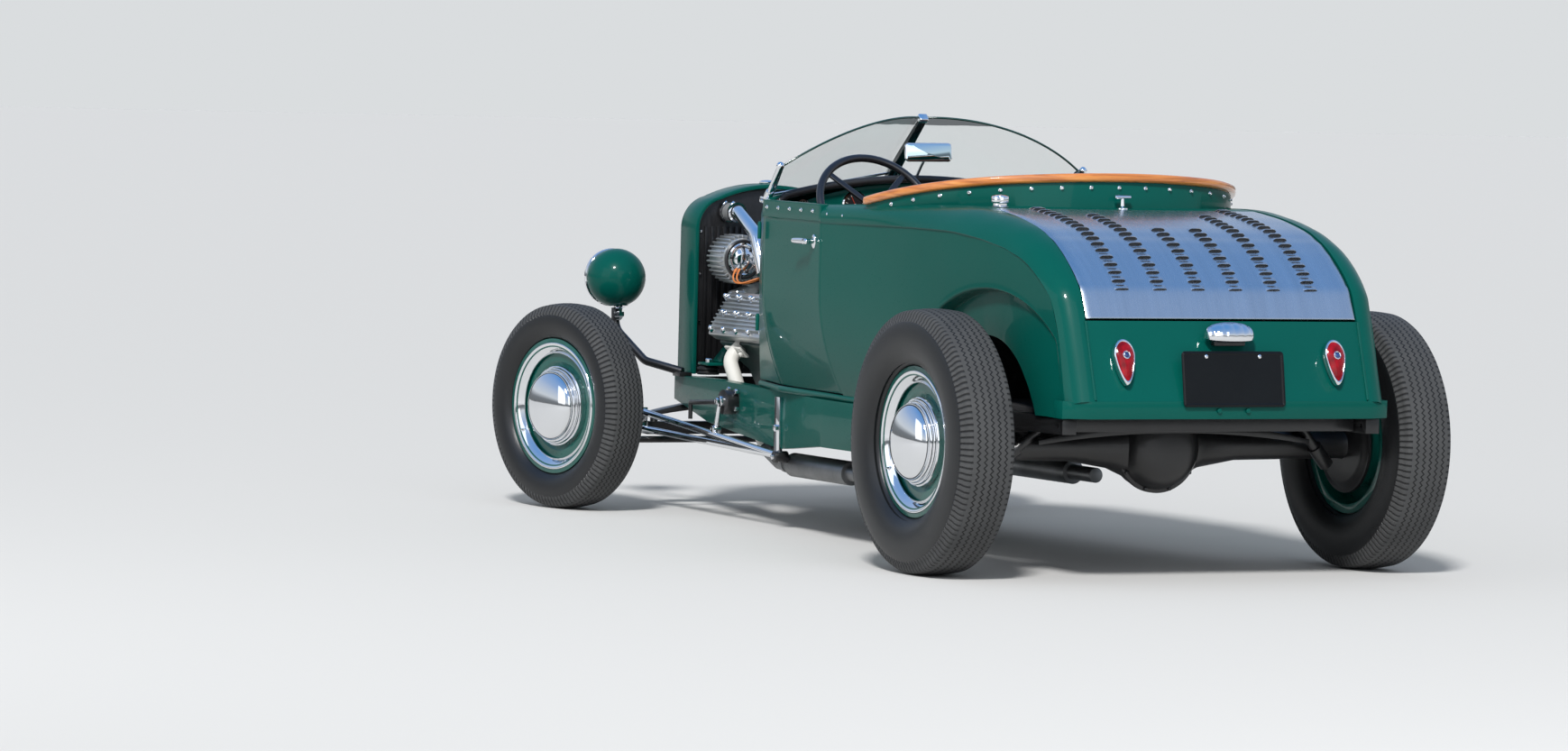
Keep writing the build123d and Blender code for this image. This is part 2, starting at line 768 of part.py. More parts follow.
with BuildPart() as gearbox:
    with BuildSketch(Plane.YZ.offset(ahead(engine_rear - 1))):
        with Locations((0, 480)):
            Rectangle(300, 200)
    extrude(amount=-80, taper=6)
    with BuildSketch(Plane.YZ.offset(ahead(engine_rear - 55))):
        with Locations((0, 425)):
            Rectangle(150, 130)
    extrude(amount=-330)
    add(bar(Vector(ahead(engine_rear - 375), 0, 400), Vector(ahead(80), 0, 385), 38))
    add(floor_piece.part, mode=Mode.SUBTRACT)
    add(cowl.part, mode=Mode.SUBTRACT)
    add(crossmembers.part, mode=Mode.SUBTRACT)
gearbox_solid = gearbox.part.solids().sort_by(SortBy.VOLUME)[-1]
with BuildPart() as gearbox_piece:
    add(gearbox_solid)
gearbox_piece.part.label = "gearbox"

# Radiator: a painted shell with an arched top round a black core
shell_rear = wheelbase - 77
shell_depth = 120
shell_half_width = 286
shell_low = 446
shell_shoulder = 930
shell_crown = shell_shoulder + 149
shell_wall = 14


def shell_outline(distance, inset):
    """Front outline of the radiator shell, drawn in by inset."""
    half = shell_half_width - inset
    with BuildSketch(Plane.YZ.offset(ahead(distance))) as outline:
        with BuildLine():
            Line((-half, shell_low), (half, shell_low))
            Line((half, shell_low), (half, shell_shoulder))
            TangentArc((half, shell_shoulder), (half - 80, shell_shoulder + 104 - inset / 2), tangent=(0, 1))
            ThreePointArc((half - 80, shell_shoulder + 104 - inset / 2), (0, shell_crown - inset),
                          (80 - half, shell_shoulder + 104 - inset / 2))
            TangentArc((-half, shell_shoulder), (80 - half, shell_shoulder + 104 - inset / 2), tangent=(0, 1))
            Line((-half, shell_shoulder), (-half, shell_low))
        make_face()
    return outline.sketch


with BuildPart() as radiator_shell:
    extrude(shell_outline(shell_rear, 0), amount=shell_depth)
    extrude(shell_outline(shell_rear, shell_wall), amount=shell_depth, mode=Mode.SUBTRACT)
    with BuildSketch(Plane.YZ.offset(ahead(shell_rear + shell_depth - 16))):
        with BuildLine():
            Polyline((-shell_half_width + 8, shell_low), (shell_half_width - 8, shell_low),
                     (shell_half_width - 8, shell_low + 40), (-shell_half_width + 8, shell_low + 40),
                     close=True)
        make_face()
    extrude(amount=8)
radiator_shell.part.label = "radiator_shell"

with BuildPart() as radiator_core:
    extrude(shell_outline(shell_rear + 20, shell_wall + 1), amount=64)
    with BuildSketch(Plane.YZ.offset(ahead(shell_rear + 20))):
        with GridLocations(22, 0, 23, 1):
            with Locations((0, 700)):
                Rectangle(8, 470)
    extrude(amount=-8)
radiator_core.part.label = "radiator_core"

hose_z = shell_shoulder + 55
with BuildPart() as water_pipe:
    with BuildLine() as hose_line:
        FilletPolyline((ahead(shell_rear + 20), 165, hose_z), (ahead(shell_rear - 75), 165, hose_z),
                       (ahead(shell_rear - 215), 168, hose_z - 67), (ahead(shell_rear - 285), 170, 790),
                       radius=40)
    with BuildSketch(Plane(origin=hose_line.line @ 0, z_dir=hose_line.line % 0)):
        Circle(23)
    sweep(path=hose_line.line)
    add(radiator_core.part, mode=Mode.SUBTRACT)
    add(cylinder_heads.part, mode=Mode.SUBTRACT)
    add(engine_block.part, mode=Mode.SUBTRACT)
with BuildPart() as water_pipes:
    add(water_pipe.part)
    mirror(water_pipe.part, about=Plane.XZ)
water_pipes.part.label = "water_pipes"

# Headlights on curved bars from the front of the frame
lamp_x = wheelbase + 192
lamp_y = 450
lamp_z = 753
lamp_radius = 98
with BuildPart() as headlight:
    with BuildSketch(Plane.XZ.offset(-lamp_y)):
        with BuildLine():
            Line((ahead(lamp_x - lamp_radius), lamp_z), (ahead(lamp_x + 70), lamp_z))
            Line((ahead(lamp_x + 70), lamp_z), (ahead(lamp_x + 60), lamp_z + 60))
            Line((ahead(lamp_x + 60), lamp_z + 60), (ahead(lamp_x + 40), lamp_z + lamp_radius - 4))
            Line((ahead(lamp_x + 40), lamp_z + lamp_radius - 4), (ahead(lamp_x), lamp_z + lamp_radius))
            ThreePointArc((ahead(lamp_x), lamp_z + lamp_radius),
                          (ahead(lamp_x) - lamp_radius * cos(radians(45)),
                           lamp_z + lamp_radius * sin(radians(45))),
                          (ahead(lamp_x - lamp_radius), lamp_z))
        make_face()
    revolve(axis=Axis((0, lamp_y, lamp_z), (1, 0, 0)))
with BuildPart() as headlights:
    add(headlight.part)
    mirror(headlight.part, about=Plane.XZ)
headlights.part.label = "headlights"

with BuildPart() as lamp_bar:
    with BuildLine() as bar_line:
        FilletPolyline((ahead(lamp_x), lamp_y, lamp_z - lamp_radius - 1.5), (ahead(lamp_x), lamp_y, 585),
                       (ahead(wheelbase + 68), 395, 482), (ahead(wheelbase - 52), 312, 452), radius=60)
    with BuildSketch(Plane(origin=bar_line.line @ 0, z_dir=bar_line.line % 0)):
        Circle(14)
    sweep(path=bar_line.line)
    with BuildSketch(Plane.XY.offset(rail_top - 8)):
        with Locations((ahead(wheelbase - 52), 312)):
            Rectangle(56, 44)
    extrude(amount=14)
    add(frame_rails.part, mode=Mode.SUBTRACT)
with BuildPart() as headlight_bars:
    add(lamp_bar.part)
    mirror(lamp_bar.part, about=Plane.XZ)
headlight_bars.part.label = "headlight_bars"

# Leaf springs across the car. Columns: ahead, half length, end height, centre height, width
springs = ((wheelbase, 400, 318, 366, 50), (-120, 458, 402, 450, 56))
leaf_stack = 28

# Front axle: a dropped beam with a boss for each kingpin
boss_radius = 24
boss_height = 40
kingpin_radius = 11
front_hub_z = front_tyre_radius
beam_half = 20
beam_end = kingpin_y - 35
with BuildPart() as front_axle:
    with BuildSketch(Plane.YZ.offset(front_axle_x)):
        with BuildLine():
            Polyline((0, 242), (420, 242), (545, 285), (beam_end, front_hub_z - beam_half),
                     (kingpin_y, front_hub_z - beam_half), (kingpin_y, front_hub_z + beam_half),
                     (beam_end - 12, front_hub_z + beam_half), (530, 322), (412, 284), (0, 284), close=True)
        make_face()
    extrude(amount=beam_half, both=True)
    with BuildSketch(Plane.XY.offset(front_hub_z - boss_height / 2)):
        with Locations((front_axle_x, kingpin_y)):
            Circle(boss_radius)
    extrude(amount=boss_height)
    with BuildSketch(Plane.XY.offset(275)):
        with Locations((front_axle_x, springs[0][1] - 12)):
            Circle(13)
    extrude(amount=springs[0][2] - leaf_stack / 2 - 276)
    mirror(about=Plane.XZ)
    with BuildSketch(Plane.XY.offset(front_hub_z - boss_height)):
        with Locations((front_axle_x, kingpin_y), (front_axle_x, -kingpin_y)):
            Circle(kingpin_radius + pin_gap)
    extrude(amount=2 * boss_height, mode=Mode.SUBTRACT)
front_axle.part.label = "front_axle"

with BuildPart() as leaf_springs:
    for distance, half_length, end_z, centre_z, width in springs:
        with BuildSketch(Plane.YZ.offset(ahead(distance) - width / 2)):
            with BuildLine():
                ThreePointArc((-half_length, end_z), (0, centre_z), (half_length, end_z))
                Line((half_length, end_z), (half_length, end_z - leaf_stack / 2))
                ThreePointArc((half_length, end_z - leaf_stack / 2), (0, centre_z - leaf_stack),
                              (-half_length, end_z - leaf_stack / 2))
                Line((-half_length, end_z - leaf_stack / 2), (-half_length, end_z))
            make_face()
        extrude(amount=width)
leaf_springs.part.label = "leaf_springs"

# Radius rods: two bars a side from the axle to a plate that hangs from the rail
rod_y = 440
plate_ahead = door_front + 40
plate_y = 451
rod_foot = Vector(ahead(plate_ahead), plate_y + 6, 243)
with BuildPart() as radius_rod:
    add(bar(Vector(front_axle_x - beam_half - 1, rod_y, 318), rod_foot, 11))
    add(bar(Vector(front_axle_x - beam_half - 1, rod_y, 262), rod_foot, 11))
    with BuildSketch(Plane.XZ.offset(-plate_y)):
        with BuildLine():
            Polyline((ahead(plate_ahead - 20), 222), (ahead(plate_ahead + 20), 222),
                     (ahead(plate_ahead + 17), 428), (ahead(plate_ahead - 17), 428), close=True)
        make_face()
    extrude(amount=-12)
    with BuildSketch(Plane.YZ.offset(front_axle_x - beam_half - 14)):
        with Locations((rod_y, 290)):
            Rectangle(26, 84)
    extrude(amount=13)
    add(frame_rails.part, mode=Mode.SUBTRACT)
with BuildPart() as radius_rods:
    add(radius_rod.part)
    mirror(radius_rod.part, about=Plane.XZ)
radius_rods.part.label = "radius_rods"

# Shock absorbers: levers at the front, tubes at the rear
with BuildPart() as shock:
    with BuildSketch(Plane.XZ.offset(-396)):
        with Locations((ahead(wheelbase - 632), 385)):
            Circle(40)
    extrude(amount=-40)
    add(bar(Vector(ahead(wheelbase - 632), 445, 385), Vector(ahead(wheelbase - 422), 452, 372), 8))
    add(bar(Vector(ahead(wheelbase - 422), 452, 372), Vector(ahead(wheelbase - 422), 452, 318), 7))
    with BuildSketch(Plane.XZ.offset(-432)):
        with Locations((ahead(wheelbase - 632), 385)):
            Circle(16)
    extrude(amount=-20)
    add(frame_rails.part, mode=Mode.SUBTRACT)
    add(radius_rods.part, mode=Mode.SUBTRACT)
with BuildPart() as rear_shock:
    add(bar(Vector(ahead(-75), 560, 322), Vector(ahead(-130), 425, 452), 15))
    add(bar(Vector(ahead(-75), 560, 322), Vector(ahead(-98), 503, 377), 22))
with BuildPart() as shock_absorbers:
    add(shock.part)
    mirror(shock.part, about=Plane.XZ)
    add(rear_shock.part)
    mirror(rear_shock.part, about=Plane.XZ)
    add(leaf_springs.part, mode=Mode.SUBTRACT)
shock_absorbers.part.label = "shock_absorbers"

# Rear axle: tubes with a bulbous middle and a spindle for each wheel
rear_hub_z = rear_tyre_radius
tube_radius = 34
banjo_radius = 128
wheel_inner_face = 52
rear_wheel_y = rear_track / 2
with BuildPart() as rear_axle:
    with BuildSketch(Plane.XZ.offset(-(rear_wheel_y - wheel_inner_face - 22))):
        with Locations((rear_axle_x, rear_hub_z)):
            Circle(tube_radius)
    extrude(amount=2 * (rear_wheel_y - wheel_inner_face - 22))
    with BuildSketch(Plane.YZ.offset(rear_axle_x - 90)):
        with Locations((0, rear_hub_z - 36)):
            Circle(banjo_radius)
    extrude(amount=170)
    for side in (1, -1):
        with BuildSketch(Plane.XZ.offset(-side * (rear_wheel_y - wheel_inner_face - 22))):
            with Locations((rear_axle_x, rear_hub_z)):
                Circle(drum_radius - 6)
        extrude(amount=-side * 12)
        with BuildSketch(Plane.XZ.offset(-side * (rear_wheel_y - wheel_inner_face - 20))):
            with Locations((rear_axle_x, rear_hub_z)):
                Circle(spindle_radius)
        extrude(amount=-side * 60)
    add(gearbox_piece.part, mode=Mode.SUBTRACT)
    add(shock_absorbers.part, mode=Mode.SUBTRACT)
rear_axle.part.label = "rear_axle"

# Steering: knuckles turned as parked, and the tie rod behind the axle
steer = radians(parked_steer)


def turned(forward, outward, side):
    """A point beside a kingpin, given in the turned wheel's own directions."""
    across = side * outward
    return Vector(front_axle_x + forward * cos(steer) - across * sin(steer),
                  side * kingpin_y + forward * sin(steer) + across * cos(steer), front_hub_z)


ear_thickness = 15
ear_gap = gap
tie_rod_z = 232
tie_rod_radius = 11
tie_eye_height = 28
tie_eye_radius = 18
tie_pin_radius = 8
knuckles = {}
for side, name in ((1, "left"), (-1, "right")):
    pivot_plane = Plane(origin=(front_axle_x, side * kingpin_y, front_hub_z),
                        x_dir=(cos(steer), sin(steer), 0), z_dir=(0, 0, 1))
    ear_low = boss_height / 2 + ear_gap
    with BuildPart() as knuckle:
        for level in (ear_low, -ear_low - ear_thickness):
            with BuildSketch(pivot_plane.offset(level)):
                Circle(22)
                with Locations((0, side * 16)):
                    Rectangle(44, 32)
            extrude(amount=ear_thickness)
        with BuildSketch(pivot_plane.offset(-ear_low - ear_thickness)):
            with Locations((0, side * 37)):
                Rectangle(44, 14)
        extrude(amount=2 * (ear_low + ear_thickness))
        with BuildSketch(pivot_plane.offset(-ear_low - ear_thickness)):
            Circle(kingpin_radius)
        extrude(amount=2 * (ear_low + ear_thickness))
        with BuildSketch(Plane(origin=turned(0, 40, side), z_dir=turned(0, 1, side) - turned(0, 0, side))):
            Circle(spindle_radius)
        extrude(amount=52)
        with BuildSketch(pivot_plane.offset(-ear_low - ear_thickness)):
            with Locations((-steering_arm / 2, 0)):
                Rectangle(steering_arm, 24)
            with Locations((-steering_arm, 0)):
                Circle(15)
        extrude(amount=ear_thickness)
        with BuildSketch(pivot_plane.offset(tie_rod_z - front_hub_z - tie_eye_height / 2 - 4)):
            with Locations((-steering_arm, 0)):
                Circle(tie_pin_radius)
        extrude(amount=front_hub_z - ear_low - tie_rod_z + tie_eye_height / 2)
    knuckle.part.label = f"knuckle_{name}"
    export_step(knuckle.part, f"parts/knuckle_{name}.step")
    knuckles[name] = knuckle.part

with BuildPart() as tie_rod:
    for side in (1, -1):
        eye = turned(-steering_arm, 0, side)
        with BuildSketch(Plane.XY.offset(tie_rod_z - tie_eye_height / 2)):
            with Locations((eye.X, eye.Y)):
                Circle(tie_eye_radius)
        extrude(amount=tie_eye_height)
    left_eye = turned(-steering_arm, 0, 1)
    right_eye = turned(-steering_arm, 0, -1)
    add(bar(Vector(right_eye.X, right_eye.Y + 13, tie_rod_z), Vector(left_eye.X, left_eye.Y - 13, tie_rod_z),
            tie_rod_radius))
    with BuildSketch(Plane.XY.offset(tie_rod_z - tie_eye_height)):
        with Locations((left_eye.X, left_eye.Y), (right_eye.X, right_eye.Y)):
            Circle(tie_pin_radius + pin_gap)
    extrude(amount=2 * tie_eye_height, mode=Mode.SUBTRACT)
tie_rod.part.label = "tie_rod"

# Wheels, tyres and caps. Columns: name, hub centre, outward direction, tyre radius, tyre width.
corners = (
    ("front_left", turned(0, kingpin_offset, 1), turned(0, 1, 1) - turned(0, 0, 1), front_tyre_radius,
     front_tyre_width),
    ("front_right", turned(0, kingpin_offset, -1), turned(0, 1, -1) - turned(0, 0, -1), front_tyre_radius,
     front_tyre_width),
    ("rear_left", Vector(rear_axle_x, rear_wheel_y, rear_hub_z), Vector(0, 1, 0), rear_tyre_radius,
     rear_tyre_width),
    ("rear_right", Vector(rear_axle_x, -rear_wheel_y, rear_hub_z), Vector(0, -1, 0), rear_tyre_radius,
     rear_tyre_width),
)
half_rim = rim_width / 2
lip_radius = rim_radius + rim_lip + 1
bore_radius = spindle_radius + spindle_gap
for name, hub, outward, tyre_radius, tyre_width in corners:
    section = Plane(origin=hub, x_dir=outward, z_dir=outward.cross(Vector(0, 0, 1)))
    axle_line = Axis(hub, outward)
    half_tread = tyre_width * 0.37
    shoulder = tyre_radius - 12
    side_height = (rim_radius + tyre_radius) / 2
    with BuildPart() as tyre:
        with BuildSketch(section):
            with BuildLine():
                Line((-half_rim + 8.5, lip_radius), (-half_rim + 8.5, rim_radius))
                Line((-half_rim + 8.5, rim_radius), (half_rim - 8.5, rim_radius))
                Line((half_rim - 8.5, rim_radius), (half_rim - 8.5, lip_radius))
                ThreePointArc((half_rim - 8.5, lip_radius), (tyre_width / 2, side_height),
                              (half_tread + 6, shoulder))
                Line((half_tread + 6, shoulder), (half_tread, tyre_radius - 2))
                ThreePointArc((half_tread, tyre_radius - 2), (0, tyre_radius), (-half_tread, tyre_radius - 2))
                Line((-half_tread, tyre_radius - 2), (-half_tread - 6, shoulder))
                ThreePointArc((-half_tread - 6, shoulder), (-tyre_width / 2, side_height),
                              (-half_rim + 8.5, lip_radius))
            make_face()
        revolve(axis=axle_line)
    tyre.part.label = f"tyre_{name}"
    export_step(tyre.part, f"parts/tyre_{name}.step")

    with BuildPart() as wheel:
        with BuildSketch(section):
            with BuildLine():
                Polyline((-half_rim, rim_radius - rim_wall), (half_rim, rim_radius - rim_wall),
                         (half_rim, rim_radius + rim_lip), (half_rim - 7, rim_radius + rim_lip),
                         (half_rim - 8, rim_radius), (-half_rim + 8, rim_radius),
                         (-half_rim + 7, rim_radius + rim_lip), (-half_rim, rim_radius + rim_lip), close=True)
            make_face()
            with BuildLine():
                Polyline((6, bore_radius), (6, 120), (24, 150), (18, rim_radius - rim_wall + 1),
                         (28, rim_radius - rim_wall + 1), (33, 148), (16, 116), (16, bore_radius), close=True)
            make_face()
            with BuildLine():
                Polyline((7, bore_radius), (7, drum_radius - 20), (0, drum_radius),
                         (7 - drum_depth, drum_radius), (7 - drum_depth, bore_radius), close=True)
            make_face()
        revolve(axis=axle_line)
    wheel.part.label = f"wheel_{name}"
    export_step(wheel.part, f"parts/wheel_{name}.step")

    ring_inner = rim_radius - rim_wall - trim_ring_width + 14
    with BuildPart() as cap:
        with BuildSketch(section):
            with BuildLine():
                Line((17, 0), (17, 100))
                Line((17, 100), (34, hub_cap_radius))
                Line((34, hub_cap_radius), (40, hub_cap_radius))
                Line((40, hub_cap_radius), (48, 96))
                TangentArc((80, 0), (48, 96), tangent=(0, 1))
                Line((80, 0), (17, 0))
            make_face()
        revolve(axis=axle_line)
        with BuildSketch(section):
            with BuildLine():
                Polyline((half_rim + 1, rim_radius + rim_lip), (half_rim + 5, rim_radius + rim_lip - 3),
                         (half_rim + 3, rim_radius - rim_wall - 4), (half_rim - 16, ring_inner),
                         (half_rim - 19, ring_inner), (half_rim - 2, rim_radius - rim_wall - 1),
                         (half_rim + 1, rim_radius - rim_wall - 1), close=True)
            make_face()
        revolve(axis=axle_line)
    cap.part.label = f"hub_cap_{name}"
    export_step(cap.part, f"parts/hub_cap_{name}.step")

# Tail lamps, number plate, plate lamp and fuel cap
tail_slope = degrees(atan2(lid_hinge - tail_foot, lid_hinge_z - 539))
lamp_plane = Plane(origin=(ahead(-449), 352, 655), x_dir=(0, -1, 0),
                   z_dir=(-cos(radians(tail_slope)), 0, sin(radians(tail_slope))))
with BuildPart() as tail_lamp:
    with BuildSketch(lamp_plane):
        with BuildLine():
            TangentArc((-27, 16), (27, 16), tangent=(0, 1))
            Line((27, 16), (0, -70))
            Line((0, -70), (-27, 16))
        make_face()
    extrude(amount=20)
with BuildPart() as tail_lamps:
    add(tail_lamp.part)
    mirror(tail_lamp.part, about=Plane.XZ)
tail_lamps.part.label = "tail_lamps"

plate_width = 340
plate_height = 149
plate_bolt_spacing = 178
plate_bolt_radius = 3.5
plate_z = 603
plate_bolt_z = plate_z + 59
with BuildPart() as number_plate:
    with BuildSketch(Plane.YZ.offset(ahead(-476))):
        with Locations((0, plate_z)):
            RectangleRounded(plate_width, plate_height, 12)
        with Locations((-plate_bolt_spacing / 2, plate_bolt_z), (plate_bolt_spacing / 2, plate_bolt_z)):
            Circle(plate_bolt_radius, mode=Mode.SUBTRACT)
    extrude(amount=-8)
    add(tail_panel.part, mode=Mode.SUBTRACT)
number_plate.part.label = "number_plate"

with BuildPart() as plate_lamp:
    with BuildSketch(Plane.YZ.offset(ahead(-424))):
        with BuildLine():
            Line((-66, 733), (66, 733))
            ThreePointArc((66, 733), (0, 769), (-66, 733))
        make_face()
    extrude(amount=-40)
    add(tail_panel.part, mode=Mode.SUBTRACT)
plate_lamp.part.label = "plate_lamp"

with BuildPart() as fuel_cap:
    with BuildSketch(Plane.XY.offset(1076)):
        with Locations((ahead(232), 405)):
            Circle(27)
    extrude(amount=22)
    add(quarter_panels.part, mode=Mode.SUBTRACT)
    add(collar_piece.part, mode=Mode.SUBTRACT)
fuel_cap.part.label = "fuel_cap"

export_step(door_left.part, "parts/door_left.step")
export_step(door_right.part, "parts/door_right.step")
export_step(door_handle_left.part, "parts/door_handle_left.step")
export_step(door_handle_right.part, "parts/door_handle_right.step")
export_step(cowl.part, "parts/cowl.step")
export_step(quarter_panels.part, "parts/quarter_panels.step")
export_step(deck_lid.part, "parts/deck_lid.step")
export_step(collar_piece.part, "parts/collar.step")
export_step(wood_rail.part, "parts/wood_rail.step")
export_step(tail_panel.part, "parts/tail_panel.step")
export_step(frame_rails.part, "parts/frame_rails.step")
export_step(crossmembers.part, "parts/crossmembers.step")
export_step(floor_piece.part, "parts/floor.step")
export_step(seat_cushion.part, "parts/seat_cushion.step")
export_step(seat_back.part, "parts/seat_back.step")
export_step(seat_base.part, "parts/seat_base.step")
export_step(windscreen_posts.part, "parts/windscreen_posts.step")
export_step(windscreen_glass.part, "parts/windscreen_glass.step")
export_step(rear_view_mirror.part, "parts/rear_view_mirror.step")
export_step(steering_column_piece.part, "parts/steering_column.step")
export_step(steering_wheel.part, "parts/steering_wheel.step")
export_step(engine_block.part, "parts/engine_block.step")
export_step(cylinder_heads.part, "parts/cylinder_heads.step")
export_step(intake_and_carburettors.part, "parts/intake_and_carburettors.step")
export_step(generator.part, "parts/generator.step")
export_step(water_pumps.part, "parts/water_pumps.step")
export_step(exhaust.part, "parts/exhaust.step")
export_step(gearbox_piece.part, "parts/gearbox.step")
export_step(radiator_shell.part, "parts/radiator_shell.step")
export_step(radiator_core.part, "parts/radiator_core.step")
export_step(water_pipes.part, "parts/water_pipes.step")
export_step(headlights.part, "parts/headlights.step")
export_step(headlight_bars.part, "parts/headlight_bars.step")
export_step(front_axle.part, "parts/front_axle.step")
export_step(leaf_springs.part, "parts/leaf_springs.step")
export_step(radius_rods.part, "parts/radius_rods.step")
export_step(shock_absorbers.part, "parts/shock_absorbers.step")
export_step(rear_axle.part, "parts/rear_axle.step")
export_step(tie_rod.part, "parts/tie_rod.step")
export_step(tail_lamps.part, "parts/tail_lamps.step")
export_step(number_plate.part, "parts/number_plate.step")
export_step(plate_lamp.part, "parts/plate_lamp.step")
export_step(fuel_cap.part, "parts/fuel_cap.step")
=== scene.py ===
import json
from functools import partial
from math import asin, atan2, copysign, cos, degrees, exp, hypot, pi, radians, sin, sqrt

import bpy
from mathutils import Matrix, Vector


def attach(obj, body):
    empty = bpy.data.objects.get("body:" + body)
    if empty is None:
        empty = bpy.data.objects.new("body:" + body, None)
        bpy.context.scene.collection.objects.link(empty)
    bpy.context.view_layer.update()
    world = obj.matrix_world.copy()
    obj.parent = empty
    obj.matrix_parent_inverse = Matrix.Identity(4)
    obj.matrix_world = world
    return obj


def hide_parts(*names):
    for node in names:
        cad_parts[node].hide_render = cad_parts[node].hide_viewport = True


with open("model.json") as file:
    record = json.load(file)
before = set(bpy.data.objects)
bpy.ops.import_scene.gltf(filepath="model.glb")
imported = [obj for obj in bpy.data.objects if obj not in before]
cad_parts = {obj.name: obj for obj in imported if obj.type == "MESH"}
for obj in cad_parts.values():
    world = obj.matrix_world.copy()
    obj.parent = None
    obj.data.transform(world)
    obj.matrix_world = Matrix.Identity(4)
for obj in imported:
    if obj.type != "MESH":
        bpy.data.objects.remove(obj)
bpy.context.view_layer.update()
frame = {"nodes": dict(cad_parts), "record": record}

# The studio: a pale floor under the parked car, a pale surround, a blue-white backdrop over a dark foot that
# only glossy surfaces mirror, a broad key light over the left rear wheel and a weak fill. The camera stands
# far behind on the left
forward, leftward, upward = Vector((1, 0, 0)), Vector((0, 1, 0)), Vector((0, 0, 1))
rear_axle_x = -1.28305
camera_yaw, camera_pitch, camera_roll = -0.4521, 0.0492, 0.0245
eye = Vector((rear_axle_x - 16.6659, 9.3123, 1.4960))


def fed(node, feeds):
    """A node with its sockets set to values, or linked where the feed is another node's output."""
    for socket, feed in feeds.items():
        if isinstance(feed, bpy.types.NodeSocket):
            node.id_data.links.new(feed, node.inputs[socket])
        else:
            node.inputs[socket].default_value = feed
    return node


def node_in(tree, kind, feeds=None, **settings):
    """A new shader node with its settings, its sockets fed."""
    node = tree.nodes.new("ShaderNode" + kind)
    for setting, value in settings.items():
        setattr(node, setting, value)
    return fed(node, feeds or {})


def ramped(add, feed, *stops):
    """The colour of a ramp over (place, colour) stops, the first and the last at its ends."""
    node = add("ValToRGB", {"Fac": feed})
    marks = node.color_ramp.elements
    for mark, (place, colour) in ((marks[0], stops[0]), (marks[1], stops[-1])):
        mark.position = place
        mark.color = (*colour, 1)
    for place, colour in stops[1:-1]:
        marks.new(place).color = (*colour, 1)
    return node.outputs["Color"]


def look_of(name, values):
    """A new material with these values on its shader, with the shader and a function that adds nodes to it."""
    material = bpy.data.materials.new(name)
    material.use_nodes = True
    shader = fed(material.node_tree.nodes["Principled BSDF"], values)
    return material, shader, partial(node_in, material.node_tree)


look = Vector((cos(camera_yaw) * cos(camera_pitch), sin(camera_yaw) * cos(camera_pitch), -sin(camera_pitch)))
level = look.cross(upward).normalized()
upright = level.cross(look)
right = level * cos(camera_roll) + upright * sin(camera_roll)
up = upright * cos(camera_roll) - level * sin(camera_roll)
bpy.ops.object.select_all(action="DESELECT")
bpy.ops.object.camera_add(location=eye)
camera = bpy.context.object
camera.name = "rear_three_quarter_view"
camera.matrix_world = Matrix.Translation(eye) @ Matrix((right, up, -look)).transposed().to_4x4()
camera.data.lens = 147.37
camera.data.sensor_width = 36
camera.data.clip_end = 400
bpy.context.scene.camera = camera

bpy.ops.mesh.primitive_plane_add(size=240, location=(0, 0, 0))
floor = bpy.context.object
floor.name = "studio_floor"
floor.data.materials.append(look_of("pale_floor", {"Base Color": (0.71, 0.71, 0.71, 1), "Roughness": 0.9,
                                                   "Specular IOR Level": 0.1})[0])

world = bpy.data.worlds.new("pale_studio")
bpy.context.scene.world = world
world.use_nodes = True
add = partial(node_in, world.node_tree)
rays = add("LightPath").outputs
fill = fed(world.node_tree.nodes["Background"], {"Color": (0.86, 0.93, 1.0, 1), "Strength": 0.42})
surround = add("Background", {"Color": (0.701, 0.723, 0.737, 1), "Strength": 1})
seen = add("Math", {0: rays["Is Camera Ray"], 1: rays["Is Transmission Ray"]}, operation="MAXIMUM")
seen_mix = add("MixShader", {"Fac": seen.outputs[0], 1: fill.outputs[0], 2: surround.outputs[0]})
bearing = add("SeparateXYZ", {0: add("TexCoord").outputs["Generated"]}).outputs["Z"]
backdrop = ramped(add, bearing, (0.0, (0.16, 0.17, 0.18)), (0.07, (0.20, 0.22, 0.24)), (0.14, (0.66, 0.71, 0.76)),
                  (0.45, (0.34, 0.48, 0.74)), (1.0, (0.12, 0.32, 0.70)))
mirrored = add("Background", {"Color": backdrop})
mirror_mix = add("MixShader", {"Fac": rays["Is Glossy Ray"], 1: seen_mix.outputs[0], 2: mirrored.outputs[0]})
fed(world.node_tree.nodes["World Output"], {"Surface": mirror_mix.outputs[0]})

bpy.ops.object.light_add(type="SUN", location=(-6, 5, 8))
key_light = bpy.context.object
key_light.name = "broad_key"
key_light.data.energy = 3.0
key_light.data.angle = radians(9)
key_light.data.color = (1.0, 0.98, 0.95)
key_light.rotation_euler = Vector((5.0, -3.6, -5.8)).to_track_quat("-Z", "Y").to_euler()
for lamp_name, place, target, power in (("side_softbox", (-1.5, 7.5, 3.2), (0.2, 0, 0.6), 70),
                                        ("tail_softbox", (-8.5, 1.5, 3.6), (-1.2, 0, 0.8), 80)):
    bpy.ops.object.light_add(type="AREA", location=place)
    softbox = bpy.context.object
    softbox.name = lamp_name
    softbox.data.size = 5.0
    softbox.data.energy = power
    softbox.rotation_euler = (Vector(target) - Vector(place)).to_track_quat("-Z", "Y").to_euler()
bpy.context.scene.view_settings.view_transform = "Standard"

# Frame, axle beams and springs: pressed steel, brush-painted with the body's green or satin black.
# Every sheet and forging has its edges rounded, as pressing, casting and paint leave them
body_of_node = {node: body for body, nodes in frame["record"]["behaviour"]["bodies"].items() for node in nodes}


